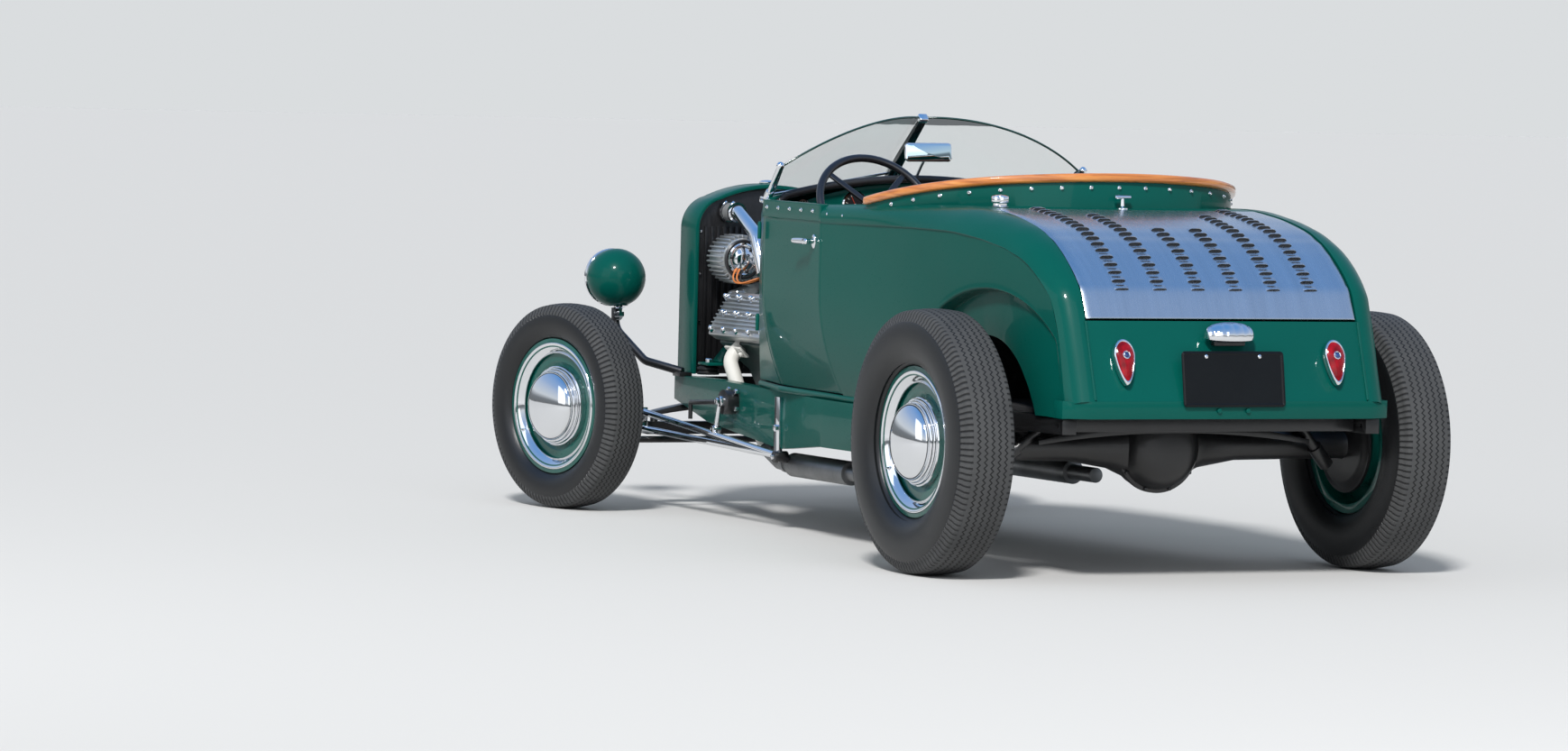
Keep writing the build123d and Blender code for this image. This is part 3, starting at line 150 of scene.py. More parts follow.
def finish_material(name, colour, roughness, metallic=0.0, coat=0.0, grain=0.0, grain_scale=60.0, shade=0.0,
                    shade_scale=6.0, coat_roughness=0.05, stretch=(1, 1, 1), specular=0.5):
    """A finish with drifting shade, fine grain in its gloss, and a light bump of the same grain."""
    material, shader, add = look_of(name, {"Metallic": metallic, "Roughness": roughness, "Coat Weight": coat,
                                           "Coat Roughness": coat_roughness, "Specular IOR Level": specular})
    place = add("Mapping", {"Vector": add("TexCoord").outputs["Object"], "Scale": stretch}).outputs["Vector"]
    drift = add("TexNoise", {"Vector": place, "Scale": shade_scale, "Detail": 4}).outputs["Fac"]
    darker, paler = [c * (1 - shade) for c in colour], [min(1, c * (1 + shade)) for c in colour]
    fed(shader, {"Base Color": ramped(add, drift, (0.3, darker), (0.7, paler))})
    if grain:
        fine = add("TexNoise", {"Vector": place, "Scale": grain_scale, "Detail": 3}).outputs["Fac"]
        bump = add("Bump", {"Strength": grain, "Distance": 0.001, "Height": fine}).outputs["Normal"]
        gloss = add("MapRange", {"Value": fine, "To Min": max(0.02, roughness * 0.75),
                                 "To Max": min(1.0, roughness * 1.25)}).outputs["Result"]
        fed(shader, {"Normal": bump, "Roughness": gloss})
    return material


def select_only(*pieces):
    bpy.ops.object.select_all(action="DESELECT")
    for piece in pieces:
        piece.select_set(True)
    bpy.context.view_layer.objects.active = pieces[0]


def edited(piece, *steps):
    """Runs mesh steps in edit mode, each on the whole piece."""
    select_only(piece)
    bpy.ops.object.mode_set(mode="EDIT")
    for step in steps:
        bpy.ops.mesh.select_all(action="SELECT")
        step()
    bpy.ops.object.mode_set(mode="OBJECT")


def weld(gap):
    return partial(bpy.ops.mesh.remove_doubles, threshold=gap)


def rounded(piece, edge, angle=35, segments=2):
    """Rounds a piece's sharp edges and shades it smooth between the edges that stay."""
    select_only(piece)
    if edge:
        rounding = piece.modifiers.new("rounded_edges", "BEVEL")
        rounding.width = edge
        rounding.segments = segments
        rounding.limit_method = "ANGLE"
        rounding.angle_limit = radians(angle)
        bpy.ops.object.modifier_apply(modifier=rounding.name)
    bpy.ops.object.shade_smooth_by_angle(angle=radians(angle))
    return piece


def placed(source, matrix=Matrix.Identity(4)):
    """A copy of a piece with its own mesh, moved by a matrix."""
    copy = source.copy()
    copy.data = source.data.copy()
    bpy.context.scene.collection.objects.link(copy)
    copy.data.transform(matrix)
    return copy


def from_solid(node, name, material):
    """A copy of a solid's own mesh in this material."""
    piece = placed(frame["nodes"][node])
    piece.name = name
    piece.data.materials.clear()
    piece.data.materials.append(material)
    return piece


def fitted(piece, body, slot, *nodes):
    """Hands a finished piece to its body, standing for the nodes it replaces, which it hides. The slot is not used."""
    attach(piece, body)
    if nodes:
        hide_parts(*nodes)
    return piece


def pressed(node, name, material, slot, edge=0.0015, angle=32, flat=True):
    """A solid's own shape with its seams merged and its edges rounded, standing for that solid."""
    piece = from_solid(node, name, material)
    edited(piece, weld(0.00002), *([partial(bpy.ops.mesh.dissolve_limited, angle_limit=radians(0.6))] if flat else []))
    return fitted(rounded(piece, edge, angle), body_of_node[node], slot, node)


body_green = finish_material("body_green", (0.0012, 0.082, 0.066), 0.30, coat=0.18, shade=0.05, shade_scale=2.0,
                             grain=0.012, grain_scale=250, coat_roughness=0.02, specular=0.06)
chassis_black = finish_material("chassis_black", (0.010, 0.010, 0.011), 0.38, coat=0.3, shade=0.25, grain=0.10,
                                grain_scale=180, coat_roughness=0.2)
rails = pressed("frame_rails", "frame_rails_painted", body_green, "body_paint", 0.003)
rails.data.materials.append(chassis_black)
for face in rails.data.polygons:
    face.material_index = int(face.center.x < rear_axle_x + 0.42)
for node in ("front_axle", "leaf_springs", "shock_absorbers", "tie_rod", "knuckle_left", "crossmembers",
             "knuckle_right", "gearbox", "headlight_bars", "steering_column"):
    pressed(node, node + "_black", chassis_black, "black_paint")

# Wheels: pressed steel painted green, each with a brake drum behind, a chromed cap with three steps
# round its dome, a chromed trim ring sprung into the rim, and a valve stem through the ring.
# A turned shape is its half section spun round the hub
wheel_green = finish_material("wheel_green", (0.0015, 0.080, 0.064), 0.3, coat=0.5, shade=0.05, grain=0.03,
                              grain_scale=200, coat_roughness=0.02)
chrome = finish_material("chrome_plate", (0.82, 0.83, 0.85), 0.06, metallic=1.0, shade=0.02, grain=0.015,
                         grain_scale=120)
steer = radians(13.9)
front_axle_x = rear_axle_x + 2.692
corners = ("front_left", "front_right", "rear_left", "rear_right")


def hub_of(corner):
    """The hub's centre and outward direction, and the tyre's radius and width."""
    side = 1 if corner.endswith("left") else -1
    if corner.startswith("rear"):
        return Vector((rear_axle_x, side * 0.734, 0.390)), side * leftward, 0.390, 0.186
    outward = Vector((-side * sin(steer), side * cos(steer), 0))
    return Vector((front_axle_x, side * 0.620, 0.338)) + outward * 0.098, outward, 0.338, 0.156


def shaped(name, points, edges, faces, material):
    """A piece from its points, edges and faces."""
    mesh = bpy.data.meshes.new(name)
    mesh.from_pydata(points, edges, faces)
    mesh.materials.append(material)
    piece = bpy.data.objects.new(name, mesh)
    bpy.context.scene.collection.objects.link(piece)
    return piece


faces_out = partial(bpy.ops.mesh.normals_make_consistent, inside=False)


def turned(name, section, centre, axis, material, steps=96, angle=40):
    """A half section of (along the axis, radius) points in millimetres, spun round the axis and closed."""
    away = axis.orthogonal().normalized()
    piece = shaped(name, [centre + axis * (a / 1000) + away * (r / 1000) for a, r in section],
                   [(i, i + 1) for i in range(len(section) - 1)], [], material)
    edited(piece, partial(bpy.ops.mesh.spin, steps=steps, angle=2 * pi, center=centre, axis=axis), weld(0.00005),
           faces_out)
    bpy.ops.object.shade_smooth_by_angle(angle=radians(angle))
    return piece


# Columns: along the axle from the wheel's middle, radius
cap_steps = (
    (20, 129), (39.5, 132), (42.5, 132.2), (45.5, 130.8), (46.5, 128.8), (45.8, 127),
    (51, 126.2), (54.5, 124.5), (55.3, 122.2), (54.5, 120.4), (59.5, 119.5), (63, 117.6),
    (63.7, 115.2), (62.9, 113.4),
)
dome_foot, dome_rise, dome_radius = 66, 45, 113
cap_section = cap_steps + tuple(
    (dome_foot + dome_rise * sin(turn), dome_radius * cos(turn)) for turn in [pi / 2 * k / 22 for k in range(23)])
ring_section = (
    (59.2, 209.5), (61.2, 208.5), (61.8, 206), (60.8, 202), (57, 195), (52, 188),
    (46.2, 182), (42, 178.5), (40, 176), (41.2, 174.2), (43.6, 173.8), (42, 172.8),
    (39, 173.5), (38, 177), (44, 184), (50, 191), (56, 200), (59.2, 209.5),
)
stem_section = (30, 0), (30, 4.5), (52, 4.5), (53, 3.2), (62, 3.2), (63, 0)
for corner in corners:
    hub, outward, tyre_radius, tyre_width = hub_of(corner)
    pressed("wheel_" + corner, "wheel_" + corner + "_painted", wheel_green, "wheel_paint", 0.001)
    fitted(turned("hub_cap_" + corner + "_domed", cap_section, hub, outward, chrome, 120, 28), "wheel_" + corner,
           "chrome", "hub_cap_" + corner)
    fitted(turned("trim_ring_" + corner, ring_section, hub, outward, chrome, 120, 50), "wheel_" + corner, "chrome")
    stem_at = hub + Matrix.Rotation(radians(-62), 3, outward) @ Vector((0, 0, -0.187))
    fitted(turned("valve_stem_" + corner, stem_section, stem_at, outward, chrome, 12), "wheel_" + corner, "chrome")


# Tyres: black rubber with a smooth wall, short bars across each shoulder and six tread ribs
# parted by five zigzag grooves. The wall, shoulders and crown are in the section, grooves and bars in the
# rubber's bump and colour. The colour darkens the grooves and the gaps between the bars to near-black as painted shade
def tyre_rubber(corner, hub, turn, radius, width):
    """Rubber whose shoulder bars and zigzag grooves follow the wheel round."""
    material, shader, add = look_of("rubber_" + corner, {})

    def math(operation, *feeds):
        return add("Math", dict(enumerate(feeds)), operation=operation).outputs[0]

    def noise(scale, **more):
        return add("TexNoise", {"Scale": scale, "Vector": place, **more}).outputs["Fac"]

    def blend(share, first, second):
        return add("Mix", {"Factor": share, 6: first, 7: second}, data_type="RGBA").outputs[2]

    place = add("Mapping", {"Vector": add("TexCoord").outputs["Object"], "Location": hub, "Rotation": (0, 0, turn)},
                vector_type="TEXTURE").outputs[0]
    x, y, z = add("SeparateXYZ", {0: place}).outputs
    around = math("ARCTAN2", z, x)
    reach = math("SQRT", math("ADD", math("MULTIPLY", x, x), math("MULTIPLY", z, z)))
    across = math("ABSOLUTE", y)
    # zigzag grooves
    waves = round(2 * pi * radius / 0.0175)
    wave = math("PINGPONG", math("MULTIPLY", around, waves / pi), 1.0)
    shifted = math("ADD", y, math("MULTIPLY", math("SUBTRACT", wave, 0.5), 0.0090))
    pitch = width * 0.118
    groove = math("PINGPONG", math("ADD", shifted, pitch * 20), pitch / 2)
    on_tread = math("MULTIPLY", math("LESS_THAN", across, pitch * 2.45), math("GREATER_THAN", reach, radius - 0.02))
    tread_cut = math("MULTIPLY", math("LESS_THAN", groove, 0.0028), on_tread)
    # shoulder bars
    bars = round(2 * pi * radius / 0.0185)
    bar = math("PINGPONG", math("MULTIPLY", around, bars / pi), 1.0)
    on_shoulder = math("MULTIPLY", math("GREATER_THAN", across, pitch * 2.75),
                       math("GREATER_THAN", reach, radius - 0.040))
    bar_drop = math("MULTIPLY", math("SUBTRACT", 1.0, math("MINIMUM", math("MULTIPLY", bar, 2.0), 1.0)), on_shoulder)
    cut_with_painted_shade = math("ADD", tread_cut, math("MULTIPLY", bar_drop, 0.95))
    height = math("SUBTRACT", math("MULTIPLY", noise(260), 0.04), cut_with_painted_shade)
    # dust on the tread, none on the wall
    tread_zone = math("GREATER_THAN", reach, radius - 0.038)
    dusty = math("MULTIPLY", tread_zone, math("ADD", math("MULTIPLY", noise(9, Detail=5), 0.6), 0.35))
    worn = blend(dusty, (0.0065, 0.0070, 0.0080, 1), (0.080, 0.082, 0.084, 1))
    # The grooves and the gaps between the bars take the near-black colour below: painted shade in the cuts
    fed(shader, {
        "Base Color": blend(math("MINIMUM", cut_with_painted_shade, 1.0), worn, (0.003, 0.003, 0.003, 1)),
        "Roughness": math("ADD", math("MULTIPLY", tread_zone, 0.38), 0.38),
        "Normal": add("Bump", {"Strength": 0.9, "Distance": 0.006, "Height": height}).outputs[0]})
    return material


for corner in corners:
    hub, outward, tyre_radius, tyre_width = hub_of(corner)
    half, top = tyre_width * 500, tyre_radius * 1000
    wall_top = top - 12
    # Columns: along the axle, radius. One side of the carcass, from the rim's lip to the middle of the tread
    one_side = [(50.5, 207), (50.5, 223.5), (57, 224.5), (64, 229), (65.5, 233),
                (half * 0.78, 232), (half * 0.89, 246), (half * 0.965, 266), (half, 262 + half * 0.36),
                (half * 0.985, wall_top - 50), (half * 0.95, wall_top - 32), (half * 0.905, wall_top - 18),
                (half * 0.875, wall_top - 16.5), (half * 0.835, wall_top - 5), (half * 0.785, wall_top + 2.5),
                (half * 0.725, wall_top + 6.2)]
    if half < 80:
        one_side = [(50.5, 207), (50.5, 223.5), (56, 224.5), (60, 227.5), (68, 236),
                    (74, 248), (half * 0.985, 262), (half, 276), (half * 0.985, 292),
                    (half * 0.95, 305), (half * 0.905, 313), (half * 0.875, 314.5), (half * 0.83, 322),
                    (half * 0.78, 328.5), (half * 0.715, 332.2)]
    tyre_section = one_side + [(half * f, top - 11.78 * f * f)
                               for f in (0.66, 0.55, 0.44, 0.33, 0.22, 0.11, 0.0)]
    tyre_section += [(-a, r) for a, r in reversed(tyre_section[:-1])]
    tyre_section.append(tyre_section[0])
    rubber = tyre_rubber(corner, hub, 0 if corner.startswith("rear") else steer, tyre_radius, tyre_width)
    fitted(turned("tyre_" + corner + "_ribbed", tyre_section, hub, outward, rubber, 128, 50), "wheel_" + corner,
           "tyre_rubber", "tyre_" + corner)

# Tail and collar: steel pressings sprayed with deep green gloss, welded to the body's inner frame,
# with open shut lines round the doors and the lid
pressed("tail_panel", "tail_panel_painted", body_green, "body_paint", 0.004, 30)
pressed("collar", "collar_painted", body_green, "body_paint", angle=30, flat=False)


# Cowl: one pressing in the same green, its front edge rolled in round a flat firewall with a pressed panel.
# The dash is a plain painted plate between its sides
turn_under_from = 800
turn_under_low = 470
cowl_roll = 12
cowl_rear, cowl_front = 1562, 1900
dash_x, dash_half, dash_low = 1586, 524, 935


def ahead(distance, across=0.0, height=0.0):
    """A point in millimetres ahead of the rear axle, left of the middle and above the road."""
    return Vector((rear_axle_x + distance / 1000, across / 1000, height / 1000))


def laid(name, columns, rows, place, material, thickness=0.0, edge=0.0, angle=35):
    """A grid whose points are set by place(u, v), both from 0 to 1, thickened against its normals."""
    bpy.ops.object.select_all(action="DESELECT")
    bpy.ops.mesh.primitive_grid_add(x_subdivisions=columns, y_subdivisions=rows, size=1)
    piece = bpy.context.object
    piece.name = name
    for vertex in piece.data.vertices:
        vertex.co = place(vertex.co.x + 0.5, vertex.co.y + 0.5)
    piece.data.materials.append(material)
    if thickness:
        sheet = piece.modifiers.new("thickness", "SOLIDIFY")
        sheet.thickness = thickness
        sheet.offset = -1
        bpy.ops.object.modifier_apply(modifier=sheet.name)
    return rounded(piece, edge, angle)


def merged(name, pieces):
    """Several pieces joined into one."""
    select_only(*pieces)
    bpy.ops.object.join()
    pieces[0].name = name
    return pieces[0]


def turned_under(top, foot, low, z):
    """Half width of a side at height z, its foot drawn in along an arc from upright at 800 mm."""
    if z >= turn_under_from or abs(top - foot) < 0.01:
        return top
    fall = turn_under_from - low
    radius = ((top - foot) ** 2 + fall**2) / (2 * abs(top - foot))
    drawn = radius - sqrt(max(0.0, radius**2 - (turn_under_from - z) ** 2))
    return top - drawn if top > foot else top + drawn


def cowl_outline(distance, share):
    """A point of the cowl's outline, share from 0 at the left foot over the top to 1 at the right foot."""
    narrowed = (distance - cowl_rear) / (cowl_front - cowl_rear)
    belt, foot = 545 - 153 * narrowed, 470 - 88 * narrowed
    rise, corner = 78 - 32 * narrowed, 24 + 46 * narrowed
    along = 2 * min(share, 1 - share)
    if along < 0.45:
        z = turn_under_low + (1054 - corner - turn_under_low) * along / 0.45
        y = turned_under(belt, foot, turn_under_low, z)
    elif along < 0.60:
        t = (along - 0.45) / 0.15
        y = belt - corner * t**2
        edge_z = 1054 + rise * (1 - ((belt - corner) / belt) ** 2)
        z = (1 - t) ** 2 * (1054 - corner) + 2 * t * (1 - t) * 1054 + t**2 * edge_z
    else:
        y = (belt - corner) * (1 - along) / 0.40
        z = 1054 + rise * (1 - (y / belt) ** 2)
    return y if share < 0.5 else -y, z


def cowl_inside(distance, share, inset):
    """The same point moved in at a right angle to the outline."""
    y, z = cowl_outline(distance, share)
    y_before, z_before = cowl_outline(distance, max(0, share - 0.002))
    y_after, z_after = cowl_outline(distance, min(1, share + 0.002))
    length = hypot(y_after - y_before, z_after - z_before)
    return y - inset * (z_after - z_before) / length, z + inset * (y_after - y_before) / length


def cowl_place(u, v):
    if u < 0.2:
        turn = pi / 2 * (1 - u / 0.2)
        distance, inset = cowl_front - cowl_roll + cowl_roll * sin(turn), cowl_roll * (1 - cos(turn))
    else:
        distance, inset = cowl_front - cowl_roll - (u - 0.2) / 0.8 * (cowl_front - cowl_roll - cowl_rear), 0
    y, z = cowl_inside(distance, v, inset)
    return ahead(distance, y, z)


def firewall_place(u, v):
    y, z = cowl_inside(1896, 0.4975 * u, 8)
    y *= 1 - 2 * v
    inward = min(1, max(0, (240 - abs(y)) / 12)) * min(1, max(0, (960 - z) / 12)) * min(1, max(0, (z - 640) / 12))
    return ahead(1896 - 5 * inward, y, z)


def dash_place(u, v):
    y = dash_half * (2 * v - 1)
    top = 998 + 116 * (1 - (y / dash_half) ** 2)
    return ahead(dash_x, y, dash_low + u * (top - dash_low))


cowl_parts = [laid("cowl_skin", 40, 120, cowl_place, body_green, thickness=0.010, edge=0.0015, angle=40),
              laid("firewall", 120, 90, firewall_place, body_green, thickness=0.004, angle=40),
              laid("dash", 10, 60, dash_place, body_green, thickness=0.010, edge=0.002, angle=40)]
fitted(merged("cowl_painted", cowl_parts), "chassis", "body_paint", "cowl")

# Doors: a pressed skin with a proud band under its top rail, folded round an inner frame, hung on two
# pin hinges in the same green. Inside, a padded card covers the frame
both_sides = ((1, "left"), (-1, "right"))


def read_off(table, value):
    """Value between the points of a table of (place, value) pairs, which rises."""
    for (a, x), (b, y) in zip(table, table[1:]):
        if value <= b or b == table[-1][0]:
            return x + (y - x) * (value - a) / (b - a)


# Columns: ahead of the rear axle, half width
door_belt, door_foot = ((1030, 602), (1560, 546)), ((1030, 515), (1560, 470))
door_rows = [470, 478, 500, 530, 565, 600, 640, 680, 720, 760, 800, 840, 880, 920, 960, 990, 997.5, 998.5, 1001.5,
             1003, 1020, 1040, 1050, 1054]


def rod(name, start, end, radius, material, sides=24, edge=0.0008):
    """A round bar from start to end."""
    start = Vector(start)
    along = Vector(end) - start
    bpy.ops.object.select_all(action="DESELECT")
    bpy.ops.mesh.primitive_cylinder_add(vertices=sides, radius=radius, depth=along.length)
    piece = bpy.context.object
    piece.name = name
    piece.data.transform(Matrix.Translation(start + along / 2) @ along.to_track_quat("Z", "Y").to_matrix().to_4x4())
    piece.data.materials.append(material)
    return rounded(piece, edge, 40)


def door_half(distance, z):
    return turned_under(read_off(door_belt, distance), read_off(door_foot, distance), turn_under_low, z)


for side, name in both_sides:
    def door_place(u, v):
        distance = 1557.5 - u * 525
        row = v * (len(door_rows) - 1)
        k = min(int(row), len(door_rows) - 2)
        z = door_rows[k] + (door_rows[k + 1] - door_rows[k]) * (row - k)
        half = door_half(distance, z) + 4 * min(1, max(0, (z - 998) / 4))
        return ahead(distance, side * half, z)
    skin = laid("door_skin_" + name, 24, len(door_rows) - 1, door_place, body_green,
                thickness=side * 0.036, edge=0.0028, angle=40)
    hinges = []
    for hinge_z in (640, 930):
        low = ahead(1560, side * 559, hinge_z)
        high = ahead(1560, side * 559, hinge_z + 50)
        hinges.append(rod("hinge_barrel", low, high, 0.0062, body_green, 24, 0.0015))
        hinges.append(turned("hinge_tip", [(-1, 0), (-1, 5.5), (3, 5), (5.5, 0)], high, upward, body_green, 20))
    fitted(merged("door_" + name + "_painted", [skin, *hinges]), "door_" + name, "body_paint", "door_" + name)

# Quarter panels: one pressing a side, rolled from the deck down to a crease, with a wheel arch stamped into
# the wall below it. The arch has a raised lip, a recess that fades out to the rear and a turned-in edge

# Columns: ahead of the rear axle, height, tilt in degrees, half width where the roll starts,
# half width at the crease, drop of the crease along the tilted normal
roll_stations = (
    (1027.5, 1054, 0, 568, 606, 56), (600, 1068, 0, 545, 602, 64), (282, 1075, 0, 480, 590, 72),
    (185, 1071, 4.5, 472, 584, 71), (90, 1060.5, 7, 465, 578, 69), (22, 1051, 10, 464, 571, 68),
    (-44, 1038, 13, 463, 565, 66.5), (-108, 1023, 18, 462, 558, 64), (-160, 1004, 23.5, 462, 555, 60),
    (-205, 984, 30, 462, 552, 54), (-251, 957, 35, 462, 548, 49), (-295, 925, 41, 462, 544, 46),
    (-337, 888, 46, 462, 539, 44), (-370, 851, 55, 462, 534, 42), (-392, 803, 66, 462, 530, 41),
    (-430, 697, 72, 462, 528, 40), (-483, 535, 72, 462, 531, 50),
)


def eased(table, place):
    """Columns of a table at a place between its rows, by a smooth curve through them."""
    k = min(int(place), len(table) - 2)
    t = place - k
    rows = [table[min(max(k + i, 0), len(table) - 1)] for i in (-1, 0, 1, 2)]
    result = []
    for a, b, c, d in zip(*rows):
        spans = [max(hypot(rows[i + 1][0] - rows[i][0], rows[i + 1][1] - rows[i][1]), 1e-6) for i in range(3)]
        slope_b = ((b - a) / spans[0] + (c - b) / spans[1]) / 2 * spans[1] if rows[0] != rows[1] else c - b
        slope_c = ((c - b) / spans[1] + (d - c) / spans[2]) / 2 * spans[1] if rows[2] != rows[3] else c - b
        result.append((2 * t**3 - 3 * t**2 + 1) * b + (t**3 - 2 * t**2 + t) * slope_b
                      + (-2 * t**3 + 3 * t**2) * c + (t**3 - t**2) * slope_c)
    return result


# Columns: radius, turn in degrees of the cockpit's plan curve, from its rear middle to the left door
rim_arcs = ((0.810, 25), (0.400, 45), (0.595, 20))
rim_length = sum(radius * radians(turn) for radius, turn in rim_arcs)


def rim_at(run, grow):
    """Place and outward direction on the cockpit's plan curve, this far round from its rear middle."""
    place = Vector((rear_axle_x + 0.245, 0))
    heading = pi / 2
    for radius, turn in rim_arcs:
        angle = min(run / radius, radians(turn))
        place = place + Vector((sin(heading) - sin(heading - angle), cos(heading - angle) - cos(heading))) * radius
        heading -= angle
        run -= angle * radius
        if run < 1e-9:
            break
    outward = Vector((-sin(heading), cos(heading)))
    return place + outward * grow, outward


rim_plan = []
for step in range(61):
    spot, outward = rim_at(rim_length * step / 60, -0.0066)
    rim_plan.append(((spot.x - rear_axle_x) * 1000, spot.y * 1000))
rim_plan.append((1040, rim_plan[-1][1]))
seam_y = 455


def deck_edge(distance):
    """Half width where the deck starts: at the lid's seam, or along the cockpit's rim further forward."""
    if distance < rim_plan[0][0]:
        return seam_y
    return max(seam_y, read_off(rim_plan, distance))


roll_columns = 110
roll_rows = 30


def roll_point(place, share):
    """A point on the rolled panel, share from 0 at its inner edge to 1 at the crease."""
    distance, height, tilt, flat_to, crease, cut_with_painted_shade = eased(roll_stations, place)
    reach = crease - flat_to
    radius = (reach**2 + cut_with_painted_shade**2) / (2 * cut_with_painted_shade)
    end_angle = atan2(reach, radius - cut_with_painted_shade)
    inner = deck_edge(distance)
    flat_run = max(0.0, flat_to - inner)
    start_angle = asin(min(1, max(0.0, (inner - flat_to) / radius)))
    run = share * (flat_run + radius * (end_angle - start_angle))
    if run <= flat_run:
        y, fall = inner + run, 0.0
    else:
        angle = start_angle + (run - flat_run) / radius
        y, fall = flat_to + radius * sin(angle), radius * (1 - cos(angle))
    return distance, height, radians(tilt), y, fall


def wall_top(distance):
    return read_off(((-600, 513), (-440, 524), (-340, 531), (-150, 549), (0, 564), (220, 580), (450, 592),
                     (700, 597), (1030, 602)), distance)


def wall_foot(distance):
    return read_off(((-600, 525), (-440, 530), (-340, 537), (-150, 540), (0, 536), (220, 528), (450, 518),
                     (700, 511), (1030, 502)), distance)


def wall_y(distance, z):
    """Half width of the quarter's wall, eased over its stations."""
    spread = 60
    return sum(turned_under(wall_top(d), wall_foot(d), 448, z)
               for d in [distance + share * spread for share in (-1, -0.5, 0, 0.5, 1)]) / 5


crease_line = []
for step in range(161):
    distance, height, tilt, y, fall = roll_point((len(roll_stations) - 1) * step / 160, 1)
    crease_line.append((distance + fall * sin(tilt), height - fall * cos(tilt)))
arch_middle = (20.0, 448.0)
arch_polar = sorted((atan2(z - 3 - arch_middle[1], x - arch_middle[0]),
                     hypot(x - arch_middle[0], z - 3 - arch_middle[1])) for x, z in crease_line)
arch_polar.append((radians(175.8), hypot(462, 36)))


def reach_to_circle(angle, centre, radius):
    """Distance from the arch's middle to a circle, along this angle."""
    dx, dz = centre[0] - arch_middle[0], centre[1] - arch_middle[1]
    along = dx * cos(angle) + dz * sin(angle)
    return along + sqrt(radius**2 - (dx**2 + dz**2 - along**2))


corner_angle = atan2(998 - 3 - 448, 1027.5 - 20)


def reach_to_edge(angle):
    """Distance from the arch's middle to the panel's outer edge: the door's seam or the crease."""
    if angle < corner_angle:
        return 1007.5 / cos(angle)
    return read_off(arch_polar, angle)


# Columns: angle in degrees round the arch from the front, depth of the recess
recess_depths = ((0, 26), (25, 40), (55, 46), (80, 40), (105, 28), (130, 13), (150, 3), (165, 0), (180, 0))
# Columns: share of the way, kind of row. The rows run from the turned-in edge, over the recess and lip, outwards
arch_rows = ([("turn", 1.0), ("turn", 0.5), ("floor", 0.0), ("floor", 0.02), ("floor", 0.25), ("floor", 0.5),
              ("floor", 0.75), ("floor", 0.9), ("rise", 0.0), ("rise", 0.12), ("rise", 0.3), ("rise", 0.5),
              ("rise", 0.7), ("rise", 0.88), ("rise", 1.0)]
             + [("wall", share) for share in (0.01, 0.03, 0.08, 0.16, 0.26, 0.38, 0.50, 0.62, 0.74, 0.85, 0.93, 0.98,
                                              1.0)])
angle_steps = 144
arch_angles = [i / angle_steps * 175.8 for i in range(angle_steps + 1)]
arch_angles[min(range(len(arch_angles)), key=lambda i: abs(arch_angles[i] - degrees(corner_angle)))] = degrees(
    corner_angle)


def arch_place(side):
    def place(u, v):
        row = arch_rows[round(u * (len(arch_rows) - 1))]
        degrees_round = arch_angles[round(v * angle_steps)]
        outer_angle = radians(degrees_round)
        inner_angle = outer_angle * 173.04 / 175.8
        opening = reach_to_circle(inner_angle, (52, 348), 354)
        edge_reach = reach_to_edge(outer_angle)
        lip_reach = min(reach_to_circle(outer_angle, (-10, 280), 562), edge_reach - 6)
        depth = read_off(recess_depths, degrees_round)
        kind, share = row
        rise_width = 12
        if kind == "turn":
            reach, angle, sunk = opening, inner_angle, depth + share * 22
        elif kind == "floor":
            span = lip_reach - rise_width - opening
            reach, angle, sunk = opening + share * span, inner_angle + share * (outer_angle - inner_angle), depth
        elif kind == "rise":
            reach, angle = lip_reach - rise_width * (1 - share), outer_angle
            sunk = depth * (1 - share * share * (3 - 2 * share))
        else:
            reach, angle, sunk = lip_reach + share * (edge_reach - lip_reach), outer_angle, 0.0
            sunk = -1.2 * max(0.0, 1 - share / 0.06) * min(1, depth / 20)
        x = arch_middle[0] + reach * cos(angle)
        z = arch_middle[1] + reach * sin(angle)
        return ahead(x, side * (wall_y(x, z) - sunk), z)
    return place


def roll_place(side):
    def place(u, v):
        step = u * (len(roll_stations) - 1)
        row = round(v * roll_rows)
        share = min(max((row - 1) / (roll_rows - 3), 0), 1)
        distance, height, tilt, y, fall = roll_point(step, share)
        if row == 0:
            fall += 11
        if row == roll_rows - 1:
            y, fall = y - 2.0, fall + 3.0
        if row == roll_rows:
            y, fall = y - 9.0, fall + 3.5
        return ahead(distance + fall * sin(tilt), side * y, height - fall * cos(tilt))
    return place


for side, name in both_sides:
    rolled = laid("quarter_roll_" + name, roll_columns, roll_rows, roll_place(side), body_green,
                  thickness=-side * 0.0015, angle=38)
    arch = laid("quarter_wall_" + name, len(arch_rows) - 1, angle_steps, arch_place(side), body_green,
                thickness=side * 0.0015, angle=38)
    jamb = laid("door_jamb_" + name, 4, 16, lambda u, v: ahead(
        1027.3, side * (wall_y(1027, 450 + v * 546) - u * 57), 450 + v * 546), body_green)
    jamb_top = laid("door_jamb_top_" + name, 4, 2, lambda u, v: ahead(
        1027.3, side * (603 - u * 24), 996 + v * 54), body_green)
    fitted(merged("quarter_panel_" + name + "_painted", [rolled, arch, jamb, jamb_top]), "chassis", "body_paint",
           *(["quarter_panels"] if side == 1 else []))

# Sill strip: a half-round steel moulding that covers the joint of body and frame along each side, rolled
# from strip and painted with the body
for side, name in both_sides:
    def sill_place(u, v):
        distance = 1880 - u * 1490
        half = read_off(((380, 520), (1030, 509), (1560, 470), (1900, 382)), distance) + 3
        bulge = 7 * sin(v * pi)
        return ahead(distance, side * (half + bulge), 446 + v * 20)
    fitted(laid("sill_strip_" + name, 60, 8, sill_place, body_green, angle=60), "chassis", "body_paint")

